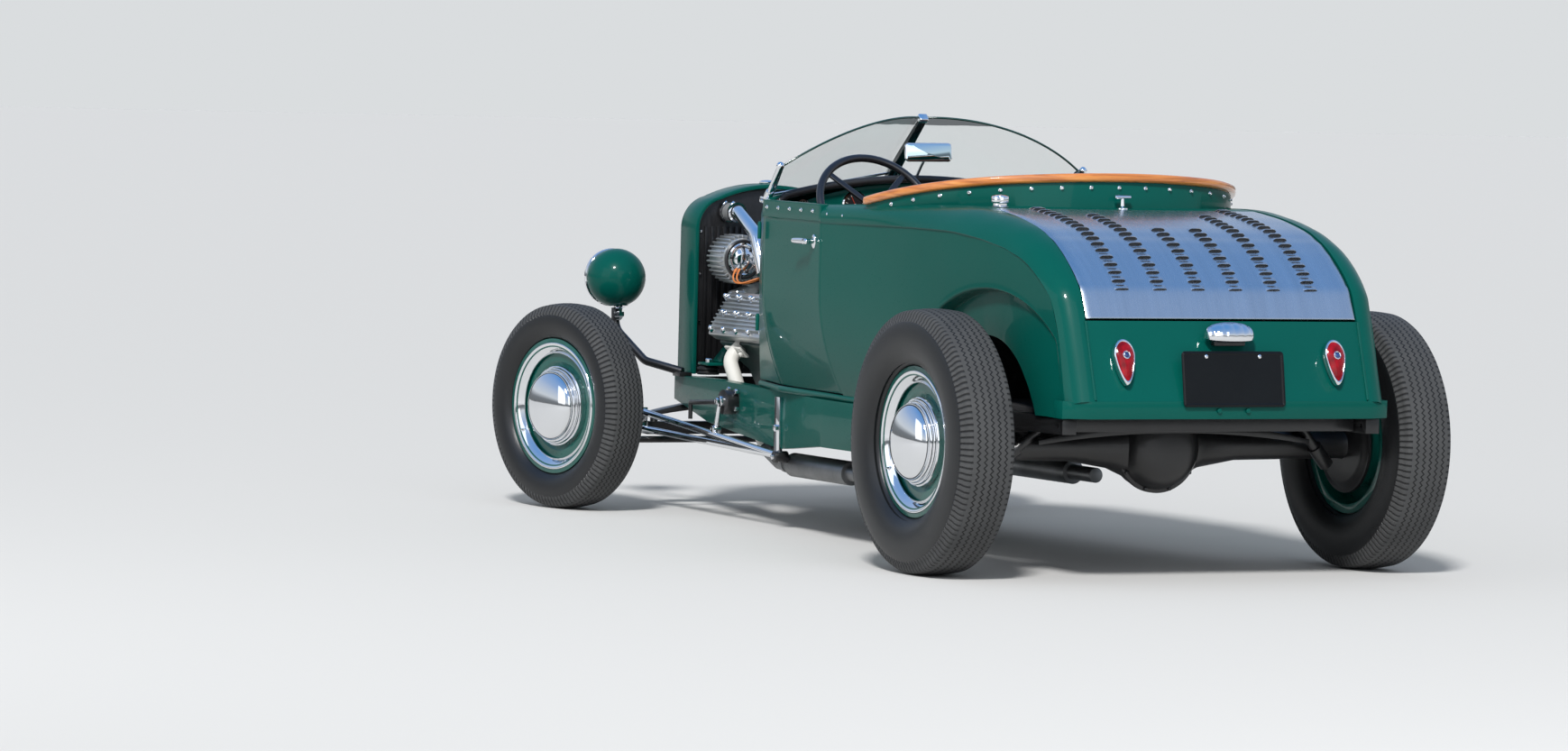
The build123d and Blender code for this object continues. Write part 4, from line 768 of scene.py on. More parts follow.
# Deck lid: one bare aluminium sheet, brushed along the car, with six columns of pressed louvres that open
# downwards and to the rear. It is folded back at its edges and hinged along its foot
deck_profile = ((185, 1071), (153, 1068), (120, 1064), (87, 1060), (53, 1056), (22, 1051), (-11, 1045),
                (-44, 1038), (-76, 1031), (-108, 1023), (-139, 1013), (-167, 1001), (-197, 989), (-223, 974),
                (-251, 957), (-274, 940), (-300, 920), (-325, 899), (-349, 875), (-370, 851), (-406, 772))
lid_half_width = 0.450
lid_fold = 0.006
lid_points = [ahead(x, 0, z) for x, z in deck_profile]
lid_reach = [0.0]
for first, second in zip(lid_points, lid_points[1:]):
    lid_reach.append(lid_reach[-1] + (second - first).length)


def on_lid(run, across, lift=0.0):
    """A point on the lid at this distance down its centre line from the front edge, in metres."""
    run = min(max(run, 0.0), lid_reach[-1])
    i = max(k for k in range(len(lid_reach) - 1) if lid_reach[k] <= run + 1e-9)
    before = lid_points[max(i - 1, 0)]
    start, end = lid_points[i], lid_points[i + 1]
    after = lid_points[min(i + 2, len(lid_points) - 1)]
    t = (run - lid_reach[i]) / (lid_reach[i + 1] - lid_reach[i])
    slope_a = (end - before) / 2
    slope_b = (after - start) / 2
    point = ((2 * t**3 - 3 * t**2 + 1) * start + (t**3 - 2 * t**2 + t) * slope_a
             + (-2 * t**3 + 3 * t**2) * end + (t**3 - t**2) * slope_b)
    along = (end - start).normalized()
    normal = leftward.cross(along)
    if normal.z < 0 and normal.x > 0:
        normal = -normal
    return Vector((point.x, across, point.z)) + normal * lift


brushed = finish_material("brushed_aluminium", (0.60, 0.62, 0.65), 0.27, metallic=1.0, shade=0.05, shade_scale=3.0,
                          grain=0.10, grain_scale=60, stretch=(0.6, 14, 0.6))


def lid_place(u, v):
    """Let down at its edges as the fold rolls over."""
    across = (0.5 - v) * 2 * lid_half_width
    fold = max(0.0, abs(across) - lid_half_width + lid_fold) / lid_fold
    return on_lid(u * lid_reach[-1], across, -0.0030 * fold * fold)


lid_skin = laid("deck_lid_skin", 72, 60, lid_place, brushed, thickness=0.0105, edge=0.0012, angle=30)
fitted(lid_skin, "deck_lid", "bare_aluminium", "deck_lid")

louvre_shadow = finish_material("louvre_shadow", (0.012, 0.013, 0.014), 0.6, shade=0.2)
louvre_width = 0.047
louvre_length = 0.021
louvre_rise = 0.0085
louvre_pitch = 0.0338
# Columns: distance left or right of the middle, number of louvres up from the lid's straight foot
louvre_columns = ((-0.316, 20), (-0.190, 15), (-0.063, 10), (0.063, 10), (0.190, 15), (0.316, 20))


def shoulder_of(v):
    """How much of its height a louvre keeps at this share of its width."""
    return max(0.0, 1 - abs(2 * v - 1) ** 5)


def louvre_hood(u, v):
    """One louvre from its flat front, u = 0, to its open mouth, u = 1."""
    return Vector((u * louvre_length, (2 * v - 1) * louvre_width / 2,
                   louvre_rise * sin(u * pi / 2) ** 1.6 * shoulder_of(v) - 0.0004))


hood = laid("louvre_hood", 7, 17, louvre_hood, brushed, angle=60)
mouth = laid("louvre_mouth", 2, 15, lambda u, v: Vector((louvre_length - 0.0012, (2 * v - 1) * louvre_width / 2 * 0.97,
             u * (louvre_rise - 0.0014) * shoulder_of(v) - 0.0002)), louvre_shadow)
lip = laid("louvre_lip", 2, 17, lambda u, v: Vector((louvre_length, (2 * v - 1) * louvre_width / 2,
           (louvre_rise - 0.0013 * (1 - u)) * shoulder_of(v) - 0.0004)), brushed)
louvre = merged("louvre", [hood, mouth, lip])
louvres = []
lid_foot_run = lid_reach[-2]
for across, count in louvre_columns:
    for i in range(count):
        run = lid_foot_run - 0.012 - i * louvre_pitch
        start = on_lid(run - louvre_length / 2, across)
        along = (on_lid(run + louvre_length / 2, across) - start).normalized()
        normal = along.cross(leftward)
        if normal.z < 0:
            normal = -normal
        louvre_turn = Matrix((along, normal.cross(along), normal)).transposed().to_4x4()
        louvres.append(placed(louvre, Matrix.Translation(start) @ louvre_turn))
bpy.data.objects.remove(louvre)
fitted(merged("deck_lid_louvres", louvres), "deck_lid", "bare_aluminium")

# Lid handle: a chromed T on a round foot, just ahead of the lid. Foot and bar are turned, and the foot is
# bolted through the deck
t_foot = turned("lid_handle_foot", [(0, 17), (4, 16.5), (6, 12), (10, 7), (34, 5.5), (35, 0)], ahead(215, 0, 1071),
                Vector((0.03, 0, 1)).normalized(), chrome, 32)
t_bar = rod("lid_handle_bar", ahead(215, -27, 1108), ahead(215, 27, 1108), 0.0060, chrome, 20, 0.002)
fitted(merged("lid_handle", [t_foot, t_bar]), "chassis", "chrome")

# Deck corners: two small steel plates between the cockpit's collar and the lid's front corners, welded to
# both and painted with them
rim_reach = [(half, distance) for distance, half in rim_plan if half < 470]
deck_corner_from = read_off(rim_plan, 300)
corner_plates = []
for side in (1, -1):
    def corner_place(u, v):
        y = deck_corner_from + (seam_y + 1 - deck_corner_from) * u
        inward = v if side < 0 else 1 - v
        distance = 290 + (read_off(rim_reach, y) - 290) * inward
        return ahead(distance, side * y, 1074.6 - (distance - 282) * 7 / 318)
    corner_plates.append(laid("deck_corner", 16, 8, corner_place, body_green, thickness=0.002))
fitted(merged("deck_corners", corner_plates), "chassis", "body_paint")

# Tail seams: the panel under the lid meets each rolled corner in a raised, leaded bead of the same green,
# filed round before the paint


def tube(name, points, radius, material, sides=6, closed=False):
    """A smooth round tube along a few points."""
    line = bpy.data.curves.new(name, "CURVE")
    line.dimensions = "3D"
    line.bevel_depth = radius
    line.bevel_resolution = sides
    line.resolution_u = 10
    line.use_fill_caps = True
    spline = line.splines.new("NURBS")
    spline.points.add(len(points) - 1)
    for point, place in zip(spline.points, points):
        point.co = (*place, 1)
    spline.order_u = 3
    spline.use_endpoint_u = not closed
    spline.use_cyclic_u = closed
    holder = bpy.data.objects.new(name, line)
    bpy.context.scene.collection.objects.link(holder)
    select_only(holder)
    bpy.ops.object.convert(target="MESH")
    piece = bpy.context.object
    piece.data.materials.clear()
    piece.data.materials.append(material)
    return rounded(piece, 0, 50)


seam_beads = [tube("seam_bead", [ahead(-409, side * seam_y, 763), ahead(-445, side * seam_y, 650),
                                 ahead(-481, side * seam_y, 539)], 0.0042, body_green, 5) for side in (1, -1)]
fitted(merged("tail_seam_beads", seam_beads), "chassis", "body_paint")

# Wood rail: oiled and varnished hardwood steamed to the cockpit's curve, lying on the collar, with the
# grain along its length
varnished, wood_shader, add = look_of("varnished_wood", {"Roughness": 0.35, "Coat Weight": 1.0, "Coat Roughness": 0.04})
wood_place = add("TexCoord").outputs["Object"]
wood_rings = add("TexNoise", {"Vector": add("Mapping", {"Vector": wood_place, "Scale": (6, 2.2, 60)}).outputs[0],
                              "Scale": 2.2, "Detail": 8, "Distortion": 0.6}).outputs["Fac"]
pores = add("TexNoise", {"Vector": add("Mapping", {"Vector": wood_place, "Scale": (40, 10, 300)}).outputs[0],
                         "Scale": 4, "Detail": 5}).outputs["Fac"]
wood_colours = ramped(add, wood_rings, (0.28, (0.42, 0.115, 0.018)), (0.5, (0.74, 0.24, 0.042)),
                      (0.72, (0.90, 0.36, 0.075)))
wood_mix = add("Mix", {"Factor": 0.35, 6: wood_colours, 7: pores}, data_type="RGBA", blend_type="MULTIPLY")
wood_bump = add("Bump", {"Strength": 0.06, "Distance": 0.001, "Height": pores})
fed(wood_shader, {"Base Color": wood_mix.outputs[2], "Normal": wood_bump.outputs[0]})
pressed("wood_rail", "wood_rail_varnished", varnished, "varnished_wood", 0.0075, 50)

# Snaps for a tonneau cover: chromed studs, a hand's width apart round the collar and along each door,
# turned in one piece and screwed into the panel
snap = turned("snap", [(-1, 6.2), (1.2, 6.2), (2, 5), (2.4, 3.6), (4.4, 3.4), (5.6, 4.2), (6.6, 3.4), (7, 0)],
              Vector((0, 0, 0)), upward, chrome, 16)


def studs(name, places, body):
    """Copies of the snap, each at a place with its outward direction."""
    return fitted(merged(name, [
        placed(snap, Matrix.Translation(spot) @ outward.to_track_quat("Z", "Y").to_matrix().to_4x4())
        for spot, outward in places]), body, "chrome")


def rail_height(x):
    """Underside of the wood rail at this X."""
    return 1.060 + 0.18 * (rear_axle_x + 0.752 - x)


collar_spots = []
snap_pitch = 0.092
for i in range(-8, 9):
    place, outward = rim_at(abs(i) * snap_pitch, 0.0075)
    side = 1 if i >= 0 else -1
    spot = Vector((place.x, side * place.y, rail_height(place.x) - 0.017))
    if abs(i) * snap_pitch < rim_length - 0.06:
        collar_spots.append((spot, Vector((outward.x, side * outward.y, 0))))
studs("collar_snaps", collar_spots, "chassis")
for side, name in both_sides:
    studs("door_snaps_" + name, [(ahead(distance, side * (read_off(door_belt, distance) + 4), 1032), side * leftward)
                                 for distance in range(1100, 1517, 104)], "door_" + name)
quarter_top = [(ahead(distance, side * (602.5 - (1028 - distance) * 0.004), 1026 - (1028 - distance) * 0.02),
                Vector((0, side, 0.25)).normalized()) for side in (1, -1) for distance in (985, 880)]
studs("quarter_snaps", quarter_top, "chassis")
bpy.data.objects.remove(snap)

# Tail lamps: teardrop lenses of red glass ribbed inside, each in a chromed bezel that follows its outline,
# with a small blue glass dot set in the lens
lens_red = finish_material("red_lens", (0.24, 0.004, 0.009), 0.16, coat=0.3, shade=0.45, shade_scale=45,
                           grain=0.25, grain_scale=160, coat_roughness=0.03, specular=0.1)
dot_blue = finish_material("blue_glass_dot", (0.010, 0.035, 0.16), 0.1, coat=0.8, shade=0.3, shade_scale=60)
tail_tilt = radians(17.8)
lamp_out = Vector((-cos(tail_tilt), 0, sin(tail_tilt)))
lamp_up = Vector((sin(tail_tilt), 0, cos(tail_tilt)))


def on_teardrop(origin, angle, share, lift):
    """A point this share of the way out to the lens's outline, which is round above and drawn to a point below."""
    up_share = cos(angle)
    across, up_by = 0.0328 * sin(angle), 0.004 + 0.048 * up_share
    if up_share < 0:
        across, up_by = across * (1 + 0.28 * up_share), 0.004 + 0.085 * up_share
    up_by = -0.006 + (up_by + 0.006) * share
    return origin - leftward * across * share + lamp_up * up_by + lamp_out * lift


# Columns: height over the panel, share of the outline
bezel_section = ((0.0, 1.04), (0.011, 1.05), (0.0165, 1.01), (0.0190, 0.96), (0.0190, 0.91), (0.0165, 0.87))
for side, name in both_sides:
    origin = ahead(-447.5, side * 352, 659)

    def lens_place(u, v):
        return on_teardrop(origin, v * 2 * pi, u * 0.87, 0.017 + 0.0090 * (1 - u ** 2.2))

    def bezel_place(u, v):
        k = min(int(u * 5), 4)
        t = u * 5 - k
        lift, share = [a * (1 - t) + b * t for a, b in zip(bezel_section[k], bezel_section[k + 1])]
        return on_teardrop(origin, v * 2 * pi, share, lift)
    fitted(laid("tail_lens_" + name, 12, 72, lens_place, lens_red, angle=60), "chassis", "red_lens", "tail_lamps")
    bezel = laid("tail_bezel_" + name, 16, 72, bezel_place, chrome, angle=50)
    dot_at = origin + lamp_up * 0.003 + lamp_out * 0.0245
    dot_ring = turned("tail_dot_ring_" + name, [(0, 12), (3.5, 12), (5.2, 10.5), (4.5, 8.4)], dot_at, lamp_out, chrome,
                      32)
    dot = turned("tail_dot_" + name, [(1, 8.4), (4.2, 7.4), (5.8, 4.8), (6.4, 0)], dot_at, lamp_out, dot_blue, 32)
    fitted(merged("tail_trim_" + name, [bezel, dot_ring]), "chassis", "chrome")
    fitted(dot, "chassis", "red_lens")

# Number plate: a blank black pressing with a raised border, on two bolts, under its lamp. Two painted bolts
# hold the pan below it
plate_black = finish_material("plate_enamel", (0.003, 0.004, 0.005), 0.45, coat=0.05, shade=0.2, grain=0.05,
                              specular=0.2)
plate_turn = Matrix.Rotation(radians(8.8), 3, "Y")
plate_middle = ahead(-481, 0, 600)
plate_width = 0.340
plate_height = 0.163
plate_corner = 0.012


def plate_place(u, v):
    across = (0.5 - u) * plate_width
    up_by = (v - 0.5) * plate_height
    over_across, over_up = abs(across) - plate_width / 2, abs(up_by) - plate_height / 2
    from_edge = min(-over_across, -over_up)
    corner = hypot(max(0, over_across + plate_corner), max(0, over_up + plate_corner))
    if corner > plate_corner:
        across += copysign(over_across + plate_corner, across) * (plate_corner / corner - 1)
        up_by += copysign(over_up + plate_corner, up_by) * (plate_corner / corner - 1)
    raised = 0.0026 * max(0.0, 1 - abs(from_edge - 0.0060) / 0.0036)
    return plate_middle + plate_turn @ Vector((-0.0012 - raised, -across, up_by))


plate = laid("number_plate_pressing", 160, 74, plate_place, plate_black, thickness=-0.0014, angle=40)
fitted(plate, "chassis", "black_paint", "number_plate")
bolt_heads = []
for across in (-0.089, 0.089):
    at = plate_middle + plate_turn @ Vector((-0.0010, across, 0.066))
    bolt_heads.append(turned("plate_bolt", [(0, 6.2), (2.8, 5.8), (4.2, 3.6), (4.6, 0)], at, plate_turn @ -forward,
                             chrome, 20))
for across, low in ((-0.048, 0.508), (0.048, 0.508)):
    bolt_heads.append(turned("pan_bolt", [(0, 7.5), (4, 7), (5, 4.5), (5.4, 0)],
                             Vector((rear_axle_x - 0.4868, across, low)), -forward, body_green, 20))
fitted(merged("tail_bolts", bolt_heads), "chassis", "chrome")

# Plate lamp: a chromed dome over the plate, pressed from thin sheet and ribbed like a shell, open
# underneath. It is screwed to a black foot on the tail
dome_middle = ahead(-431, 0, 711)


def lamp_shell(u, v):
    """A quarter loaf standing out from the tail: v runs across it, u from its top seam to its open lower edge."""
    angle = (v - 0.5) * pi
    ribs = 1 + 0.035 * abs(sin(angle * 8)) * sin(u * pi) ** 0.5
    across = 0.079 * sin(angle)
    crown = cos(angle) ** 0.55
    out = 0.052 * sin(u * pi * 0.56) * crown * ribs
    high = 0.045 * cos(u * pi * 0.56) * crown * ribs
    return dome_middle + Vector((-0.004 - out - 0.008 * (1 - u), across, high + 0.008))


def block(name, centre, size, material, edge=0.002, turn=None, segments=2):
    """A box with rounded edges, turned about its centre."""
    bpy.ops.object.select_all(action="DESELECT")
    bpy.ops.mesh.primitive_cube_add(size=1)
    piece = bpy.context.object
    piece.name = name
    turn = turn.to_4x4() if turn else Matrix.Identity(4)
    piece.data.transform(Matrix.Translation(Vector(centre)) @ turn @ Matrix.Diagonal((*size, 1)))
    piece.data.materials.append(material)
    return rounded(piece, edge, 35, segments)


shade = laid("plate_lamp_shade", 18, 72, lamp_shell, chrome, thickness=-0.0015, angle=50)
bulb = turned("plate_lamp_glass", [(0, 0), (0, 13), (9, 12), (14, 7), (15, 0)],
              dome_middle + Vector((-0.022, 0, 0.018)), -upward, dot_blue, 24)
lamp_foot = block("plate_lamp_foot", dome_middle + Vector((-0.012, 0, -0.008)), (0.020, 0.104, 0.016), chassis_black,
                  0.003)
fitted(shade, "chassis", "chrome", "plate_lamp")
fitted(merged("plate_lamp_inside", [bulb, lamp_foot]), "chassis", "chrome")

# Fuel cap: a chromed casting, domed in steps over a short filler neck, let into the rolled edge ahead of
# the lid
cap_at = ahead(232, 405, 1073)
filler = turned("fuel_cap_polished", [(0, 27), (3, 27.2), (5, 22.5), (11, 22.5), (13, 27.5), (16, 28.5), (29, 28),
                                      (33, 26), (35.5, 19), (37, 8), (37.3, 0)], cap_at, upward, chrome, 48)
fitted(filler, "chassis", "chrome", "fuel_cap")

# Door handles: a chromed cast lever with a rounded grip, a collar and an oval escutcheon, held to the
# door's skin below the belt
for side, name in both_sides:
    root = ahead(1092, side * read_off(door_belt, 1092), 938)
    plate_oval = turned("handle_plate", [(-2, 21), (3, 20.5), (5.5, 17.5), (6.5, 12), (6.8, 0)], Vector((0, 0, 0)),
                        side * leftward, chrome, 40)
    plate_oval.data.transform(Matrix.Translation(root) @ Matrix.Diagonal((0.64, 1, 1.06, 1)))
    neck = turned("handle_neck", [(4, 9.5), (12, 8), (26, 7.8), (34, 9.8), (39.5, 8.5), (40.5, 0)], root,
                  side * leftward, chrome, 32)

    def grip_place(u, v):
        around = v * 2 * pi
        run = u * 0.108 - 0.018
        swell = 0.0078 + 0.0030 * sin(u * pi) ** 0.6 - 0.0012 * u
        if u < 0.04 or u > 0.96:
            swell *= 0.55 if u in (0, 1) else 0.85
        bow = -0.003 * sin(u * pi)
        return root + Vector((run, side * (0.0335 + bow) + swell * 0.85 * cos(around), swell * sin(around)))
    grip = laid("handle_grip", 26, 20, grip_place, chrome, angle=60)
    edited(grip, weld(0.0001), partial(bpy.ops.mesh.fill_holes, sides=40), faces_out)
    fitted(merged("door_handle_" + name + "_polished", [plate_oval, neck, grip]), "door_" + name, "chrome",
           "door_handle_" + name)

# Windscreen: a black enamelled centre post with a chromed cap and two raked side posts on brackets carry
# two flat panes with an arched, polished top edge. A chromed rail binds each pane's lower edge
clear, glass_shader, add = look_of("clear_glass", {"Base Color": (0.972, 0.996, 0.988, 1), "Roughness": 0.0,
                                                   "Transmission Weight": 1.0, "IOR": 1.45})
glass_marks = add("TexNoise", {"Scale": 5, "Vector": add("TexCoord").outputs["Object"]}).outputs["Fac"]
fed(glass_shader, {"Normal": add("Bump", {"Strength": 0.02, "Distance": 0.002, "Height": glass_marks}).outputs[0]})
for slot in frame["nodes"]["windscreen_glass"].material_slots:
    slot.material = clear
pressed("windscreen_posts", "windscreen_posts_chromed", chrome, "chrome", 0.002, 40)
post_black = finish_material("post_enamel", (0.006, 0.012, 0.014), 0.25, coat=0.6, shade=0.15, coat_roughness=0.03)
edge_green = finish_material("glass_edge", (0.010, 0.050, 0.040), 0.15, coat=0.5, shade=0.2)
centre_foot = ahead(1778, 0, 1114)
centre_top = ahead(1539, 0, 1323)
post_line = (centre_top - centre_foot).normalized()
post_face = post_line.cross(leftward).normalized()
post_turn = Matrix((post_face, leftward, post_line)).transposed()
centre_post = block("centre_post", (centre_foot + centre_top) / 2, (0.024, 0.030, (centre_top - centre_foot).length),
                    post_black, 0.006, post_turn, 3)
for vertex in centre_post.data.vertices:
    share = (vertex.co - centre_foot).dot(post_line) / (centre_top - centre_foot).length
    vertex.co.y *= 1.12 - 0.22 * share
fitted(centre_post, "chassis", "black_paint")
screen_trim = [block("centre_cap", centre_top - post_line * 0.006, (0.028, 0.033, 0.020), chrome, 0.006, post_turn, 3)]
pane_edges = []
for side in (1, -1):
    foot, outer_foot = ahead(1772, side * 14, 1142), ahead(1598, side * 496, 1074)
    outer_top, inner_top = ahead(1470, side * 525, 1163), ahead(1545, side * 14, 1322)
    facing = (inner_top - foot).cross(outer_foot - foot).normalized()
    chord = inner_top - outer_top
    lift = facing.cross(chord).normalized()
    if lift.dot(inner_top - foot) < 0:
        lift = -lift
    sweep = chord.length / 2
    radius = (sweep**2 + 0.070**2) / (2 * 0.070)
    centre = (outer_top + inner_top) / 2 + lift * (0.070 - radius)
    span = asin(sweep / radius)
    arch = [centre + radius * (lift * cos(a) + chord.normalized() * sin(a))
            for a in [span * (k / 12 - 1) for k in range(25)]]
    pane_edges.append(tube("pane_edge", arch, 0.0034, edge_green, 3))
    post_foot = ahead(1606, side * 512, 1058)
    post_top = ahead(1463, side * 539, 1161)
    rake = (post_top - post_foot).normalized()
    screen_trim.append(turned("post_cap", [(-4, 0), (-4, 12.5), (4, 12.5), (9, 11.5), (13, 7), (14.5, 0)], post_top,
                              rake, chrome, 32))
    screen_trim.append(turned("post_ferrule", [(0, 0), (0, 14.5), (30, 13), (34, 10.5), (36, 0)],
                              post_foot + rake * 0.004, rake, chrome, 32))
    screen_trim.append(block("post_bracket", ahead(1594, side * 521, 1048), (0.118, 0.013, 0.020), chrome, 0.005,
                             Matrix.Rotation(radians(-4), 3, "Y") @ Matrix.Rotation(side * radians(-9), 3, "Z"), 4))
    for distance in (1556, 1630):
        screen_trim.append(turned("bracket_screw", [(0, 5.5), (2.2, 5), (3, 0)],
                                  ahead(distance, side * 527.5 - side * (distance - 1594) * 0.158, 1048),
                                  Vector((0.15, side, 0)).normalized(), chrome, 20))
    screen_trim.append(rod("pane_foot_rail", ahead(1772, side * 14, 1139), ahead(1598, side * 496, 1071), 0.0055,
                           chrome, 16))
    screen_trim.append(rod("pane_side_rail", ahead(1599, side * 497, 1073), ahead(1470, side * 526, 1164), 0.0045,
                           chrome, 16))
fitted(merged("windscreen_fittings", screen_trim), "chassis", "chrome")
fitted(merged("pane_edges", pane_edges), "chassis", "clear_glass")

# Mirror: silvered glass in a thin chromed case with rounded corners, on a bent stalk from the top of the dash,
# turned up a little to the sky behind the car. The glass is tinted pale blue, a painted reflection of the sky
# Pale blue metal: a painted reflection of the sky in the mirror's glass
painted_sky_mirror = finish_material("mirror_glass_painted_sky", (0.62, 0.80, 0.88), 0.02, metallic=1.0, shade=0.02)


def plate_piece(name, middle, turn, width, height, corner, depth, material, edge):
    """A flat plate with rounded corners, facing along the turned X axis, with its edges rounded."""
    outline = []
    for k, (sy, sz) in enumerate(((1, 1), (-1, 1), (-1, -1), (1, -1))):
        for step in range(7):
            a = (k + step / 6) * pi / 2
            outline.append((sy * (width / 2 - corner) + corner * cos(a), sz * (height / 2 - corner) + corner * sin(a)))
    count = len(outline)
    points = [middle + turn @ Vector((x, y, z)) for x in (-depth / 2, depth / 2) for y, z in outline]
    faces = [list(range(count))[::-1], list(range(count, 2 * count))]
    faces += [(i, (i + 1) % count, count + (i + 1) % count, count + i) for i in range(count)]
    piece = shaped(name, points, [], faces, material)
    edited(piece, faces_out)
    return rounded(piece, edge, 40)


mirror_turn = Matrix.Rotation(radians(7), 3, "Y") @ Matrix.Rotation(radians(-6), 3, "Z")
mirror_middle = ahead(1500, 0, 1212)
mirror_shell = plate_piece("mirror_case", mirror_middle, mirror_turn, 0.158, 0.060, 0.013, 0.012, chrome, 0.0025)
mirror_pane = plate_piece("mirror_pane", mirror_middle + mirror_turn @ Vector((-0.0062, 0, 0)), mirror_turn, 0.150,
                          0.052, 0.010, 0.0012, painted_sky_mirror, 0.0003)
fitted(mirror_pane, "chassis", "chrome")
stalk = tube("mirror_stalk", [ahead(1505, 0, 1205), ahead(1540, 0, 1175), ahead(1570, 0, 1140),
                              ahead(1592, 0, 1118)], 0.0045, chrome)
fitted(merged("rear_view_mirror_chromed", [mirror_shell, stalk]), "chassis", "chrome", "rear_view_mirror")

# Cockpit floor and bulkhead: sheet steel, painted black below and covered above with black loop carpet that
# is glued down
carpet = finish_material("loop_carpet", (0.022, 0.022, 0.024), 0.95, shade=0.45, shade_scale=260, grain=0.9,
                         grain_scale=520)
lined = pressed("floor", "floor_carpeted", carpet, "black_paint", 0.003)
lined.data.materials.append(chassis_black)
for face in lined.data.polygons:
    face.material_index = int(face.normal.z < -0.5 or face.center.z < 0.452)

# Side linings: saddle-brown leather over board, with upright sewn channels. They close the quarter panels
# inside, from the floor up to the cockpit's edge. The doors' cards are sewn alike, and each has a leather
# pull and a chromed latch
leather = finish_material("saddle_leather", (0.125, 0.048, 0.020), 0.48, coat=0.12, shade=0.16, shade_scale=7,
                          grain=0.55, grain_scale=620, coat_roughness=0.3)
channel_pitch = 0.070


def channel(place, width=0.0045):
    """How deep a sewn channel is drawn in here, 1 on the seam."""
    off = (place / channel_pitch) - round(place / channel_pitch)
    return exp(-((off * channel_pitch / width) ** 2))


for side, name in both_sides:
    def lining_place(u, v):
        distance = 490 + u * 534
        z = 462 + v * 582
        outer = wall_y(distance, min(z, 990))
        inset = 56 - 2.5 * (1 - channel(distance / 1000 - 0.021)) * min(1, (1 - v) * 12) * min(1, v * 12)
        half = outer - inset
        if v > 0.93:
            half += (deck_edge(distance) - 3 - half) * (v - 0.93) / 0.07
        return ahead(distance, side * half, z)
    lining = laid("quarter_lining_" + name, 96, 30, lining_place, leather, angle=60)
    fitted(lining, "chassis", "seat_leather")

    def card_place(u, v):
        distance = 1540 - u * 492
        z = 500 + v * 520
        half = door_half(distance, z) - 38.5
        near_edge = min(u, 1 - u, v, 1 - v)
        puff = 3.5 * min(1.0, near_edge * 22) * (1 - 0.75 * channel(distance / 1000))
        return ahead(distance, side * (half - 1.5 - puff), z)
    card = laid("door_card_" + name, 96, 26, card_place, leather, thickness=-side * 0.003, angle=60)
    pull_half = read_off(door_belt, 1300) - 46
    pull = tube("door_pull", [ahead(1250 + k * 30, side * (pull_half - 22 * sin(k / 6 * pi)), 900) for k in range(7)],
                0.006, leather, 5)
    latch = turned("door_latch", [(0, 0), (0, 16), (4, 16), (10, 7), (20, 7), (24, 11), (28, 9), (29, 0)],
                   ahead(1110, side * 548, 940), -side * leftward, chrome, 32)
    fitted(merged("door_trim_" + name, [card, pull, latch]), "door_" + name, "seat_leather")

# Parcel tray: a leather-covered board that closes the space between the seat's back and the cockpit's
# collar, laid on the deck's inner edge
def tray_place(u, v):
    distance = 250 + 218 * u
    half = read_off(rim_plan, max(distance, rim_plan[1][0])) + 5
    return ahead(distance, (1 - 2 * v) * half, 1047)


fitted(laid("parcel_tray", 40, 30, tray_place, leather, thickness=0.006, edge=0.002), "chassis", "seat_leather")

# Bench seat: a sprung cushion and back covered with the same leather, sewn in channels from front to back,
# with welt piping along the edges, on a carpeted box
pressed("seat_base", "seat_box_carpeted", carpet, "seat_leather", 0.004)


def stuffed(node, name, away, cap):
    """A pad blown up as cloth from a slightly smaller shape, then held to its CAD shape within a cap."""
    pad = from_solid(node, name, leather)
    edited(pad, weld(0.00002))
    remesh = pad.modifiers.new("even_mesh", "REMESH")
    remesh.mode = "VOXEL"
    remesh.voxel_size = 0.006
    bpy.ops.object.modifier_apply(modifier=remesh.name)
    for vertex, normal in [(v, v.normal.copy()) for v in pad.data.vertices]:
        vertex.co -= normal * away
    started = [v.co.copy() for v in pad.data.vertices]
    stuffing = pad.modifiers.new("stuffing", "CLOTH")
    stuffing.settings.quality = 4
    stuffing.settings.use_pressure = True
    stuffing.settings.uniform_pressure_force = 4
    stuffing.settings.effector_weights.gravity = 0
    stuffing.point_cache.frame_start = 1
    stuffing.point_cache.frame_end = 12
    for step in range(1, 13):
        bpy.context.scene.frame_set(step)
    bpy.ops.object.modifier_apply(modifier=stuffing.name)
    bpy.context.scene.frame_set(1)
    for vertex, start in zip(pad.data.vertices, started):
        move = vertex.co - start
        if move.length > cap:
            vertex.co = start + move * (cap / move.length)
    return pad


def sewn(pad, facing, depth):
    """Draws channels into the faces that look along facing, and softens the mesh between them."""
    pad.data.update()
    for vertex, normal in [(v, v.normal.copy()) for v in pad.data.vertices]:
        share = min(1.0, max(0.0, (normal.dot(facing) - 0.15) / 0.45))
        vertex.co -= normal * (depth * share * channel(vertex.co.y, 0.0075))
    select_only(pad)
    bpy.ops.object.shade_smooth()
    return pad


def welt(pad, corners, radius=0.0045):
    """Piping laid on a pad along a loop of points, each moved to the pad's surface."""
    loop = []
    for a, b in zip(corners, corners[1:] + corners[:1]):
        for k in range(12):
            spot = a + (b - a) * k / 12
            nearest, normal = pad.closest_point_on_mesh(spot)[1:3]
            loop.append(nearest + normal * radius * 0.3)
    return tube("welt", loop, radius, leather, 4, closed=True)


